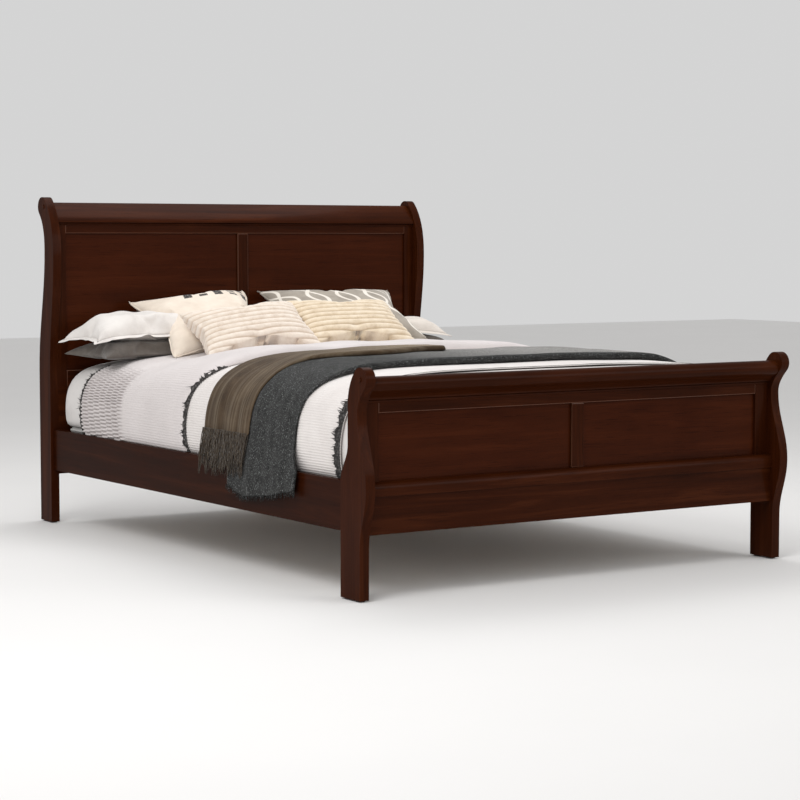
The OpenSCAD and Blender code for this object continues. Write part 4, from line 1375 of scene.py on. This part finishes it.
def sleepingPillow(nodeName, make):
    width, length, thick = (a + b for a, b in zip(make["size"], make["grow"]))
    piece, rows, cols = padForm(make["name"], width, length, thick * 0.7, 0.0125, 0.04, 2.0)
    inflate(piece, pillowPile["cloth"])
    fitTo(piece, width - 2 * make["flange"], length - 2 * make["flange"], thick)
    points, normals = coordsOf(piece.data), vertexNormals(piece.data)
    crease = 0.0036 * noiseField(points[:, 0], points[:, 1], 46, 20, make["seed"])
    crease += 0.0022 * noiseField(points[:, 0], points[:, 1], 18, 70, make["seed"] + 4)
    inFromEdge = np.minimum(width / 2 - np.abs(points[:, 0]), length / 2 - np.abs(points[:, 1]))
    rim = np.clip(inFromEdge / 0.05, 0, 1)
    points += normals * (crease * rim)[:, None]
    setCoords(piece.data, points)
    parts = [piece]
    if make["flange"]:
        loop = padRim(rows, cols)
        edge = coordsOf(piece.data)[loop]
        away = edge[:, :2] / np.array([width / 2, length / 2])
        away = np.sign(away) * np.abs(away) ** 5
        away /= np.linalg.norm(away, axis=1)[:, None] + 1e-9
        run = np.linspace(0, 1, len(loop))
        wave = noiseField(run, run * 0, 90, 1, make["seed"] + 2)
        rings = []
        for share in (0.0, 0.5, 1.0):
            ring = edge.copy()
            ring[:, :2] += away * make["flange"] * share * (1 + 0.25 * wave * share)[:, None]
            ring[:, 2] += (0.007 * wave - 0.004) * share
            rings.append(ring)
        flange = gridPiece(make["name"] + "Flange", np.array(rings), loopCols=True)
        addModifier(flange, "SOLIDIFY", thickness=0.0016, offset=0)
        addModifier(flange, "SUBSURF", levels=1, render_levels=1)
        parts.append(flange)
    low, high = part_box(nodeName)
    seam = pillowPile["seam"]
    side = math.copysign(1, low.x + high.x)
    outer = max(abs(low.x), abs(high.x)) - (pillowPile["inFromRight"] if side > 0 else 0.0)
    restsAt = pileTop.get(side, low.z)
    centreY = (low.y + high.y) / 2 + pillowPile["toHead"] - make["grow"][1] / 2.5
    centre = np.array([side * (outer - width / 2), centreY, restsAt + thick * seam])
    pileTop[side] = restsAt + thick * pillowPile["settle"]
    for part in parts:
        p = coordsOf(part.data)
        above = p[:, 2] > 0
        p[:, 2] *= np.where(above, 2 * (1 - seam), 2 * seam)
        reach = np.maximum(np.abs(p[:, 0]) / (width / 2), np.abs(p[:, 1]) / (length / 2))
        p[:, 2] -= make["droop"] * np.clip((reach - 0.55) / 0.45, 0, 1.1) ** 2
        setCoords(part.data, p + centre)
    settled(piece, 1)
    slot, cloth = pillowSlots[make["cloth"]]
    dress(piece, cloth)
    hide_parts(nodeName)
    if make["flange"]:
        dress(flange, cloth)


for nodeName, make in pillowMake.items():
    sleepingPillow(nodeName, make)
print("pillows made")


# the bedding gives way near the head on its left side, and what lies on it follows

sinkMake = {"depth": 0.037, "acrossFrom": -0.12, "across": 0.42, "alongFrom": 0.12, "along": 0.42,
            "upFrom": 0.47, "up": 0.15}


def sinkBedding():
    # beginnings of the names of the pieces that give way
    softNames = ("mattress", "quilted", "coverlet", "lofty", "duvet", "grey", "white", "beige", "trellis",
                 "blockPrint", "fluted")
    for piece in bpy.data.objects:
        if piece.type != "MESH" or piece.name in nodes or not piece.name.startswith(softNames):
            continue
        if "Throw" in piece.name:
            continue
        points = coordsOf(piece.data)
        sideways = np.clip((sinkMake["acrossFrom"] - points[:, 0]) / sinkMake["across"], 0, 1)
        along = np.clip((points[:, 1] - sinkMake["alongFrom"]) / sinkMake["along"], 0, 1)
        high = np.clip((points[:, 2] - sinkMake["upFrom"]) / sinkMake["up"], 0, 1)
        sideShare = sideways ** 2 * (3 - 2 * sideways)
        headShare = along ** 2 * (3 - 2 * along)
        points[:, 2] -= sinkMake["depth"] * sideShare * headShare * high
        setCoords(piece.data, points)


sinkBedding()


# plain timber, metal and plastic

def plainTimber(name, along):
    mat, tree, shader = newMaterial(name)
    stretch = {"x": (2, 40, 40), "y": (40, 2, 40), "z": (40, 40, 2)}[along]
    grain = noiseAt(tree, placedAt(tree, stretch), 1.0, 6.0, 0.6, 0.7)
    tones = [(0.3, (0.36, 0.22, 0.115)), (0.55, (0.50, 0.335, 0.19)), (0.8, (0.60, 0.43, 0.27))]
    colour = ramp(tree, grain, tones)
    tree.links.new(colour, shader.inputs["Base Color"])
    shader.inputs["Roughness"].default_value = 0.62
    shader.inputs["Specular IOR Level"].default_value = 0.3
    addBump(tree, shader, [(grain, 0.25, 0.0012)])
    return mat


def metalFinish(name, dark, light, rough):
    mat, tree, shader = newMaterial(name)
    brushed = noiseAt(tree, placedAt(tree, (60, 900, 900)), 1.0, 3.0, 0.6)
    colour = ramp(tree, brushed, [(0.3, dark), (0.7, light)])
    tree.links.new(colour, shader.inputs["Base Color"])
    tree.links.new(maths(tree, "MULTIPLY_ADD", brushed, 0.2, rough - 0.1), shader.inputs["Roughness"])
    shader.inputs["Metallic"].default_value = 1.0
    addBump(tree, shader, [(brushed, 0.15, 0.0002)])
    return mat


def blackPlastic(name):
    mat, tree, shader = newMaterial(name)
    pebble = noiseAt(tree, placedAt(tree, (1, 1, 1)), 900, 2.0, 0.5)
    tree.links.new(ramp(tree, pebble, [(0.3, (0.012, 0.012, 0.013)), (0.7, (0.028, 0.028, 0.029))]),
                   shader.inputs["Base Color"])
    shader.inputs["Roughness"].default_value = 0.48
    addBump(tree, shader, [(pebble, 0.3, 0.0003)])
    return mat


timber = {axis: plainTimber("plainPine" + axis.upper(), axis) for axis in "xyz"}
steel = metalFinish("brushedSteel", (0.36, 0.36, 0.37), (0.55, 0.55, 0.56), 0.36)
brass = metalFinish("yellowZinc", (0.42, 0.32, 0.13), (0.62, 0.50, 0.26), 0.38)
plastic = blackPlastic("mouldedPlastic")
for names, material, width in (
        (("slats", "frame_dowels"), timber["x"], 0.0016),
        (("ledger_left", "ledger_right", "centre_beam"), timber["y"], 0.0020),
        (("centre_leg_1", "centre_leg_2", "centre_leg_3"), timber["z"], 0.0022),
        (("hook_plates", "lock_pins", "leg_bolts"), steel, 0.0004),
        (("ledger_screws", "slat_screws"), brass, 0.0003),
        (("levelling_foot_1", "levelling_foot_2", "levelling_foot_3", "post_glides"), plastic, 0.0010)):
    finishWood(names, "x", width, 2, material, material)
print("timber, metal and plastic finished")


# pale studio floor, not part of the bed

def addFloor(settings):
    size = settings["floorSize"]
    count = 24
    at = np.linspace(-size / 2, size / 2, count)
    points = np.array([[(x, y, -0.0006) for x in at] for y in at])
    floor = gridPiece("studioFloor", points)
    mat, tree, shader = newMaterial("paleFloor")
    cloud = noiseAt(tree, placedAt(tree, (1, 1, 1)), 1.3, 4.0)
    pale = settings["floorColour"]
    colour = ramp(tree, cloud, [(0.3, tuple(c * 0.985 for c in pale)), (0.7, pale)])
    tree.links.new(colour, shader.inputs["Base Color"])
    shader.inputs["Roughness"].default_value = 0.8
    shader.inputs["Specular IOR Level"].default_value = 0.2
    floor.data.materials.append(mat)


addFloor(studio)
print("floor laid")
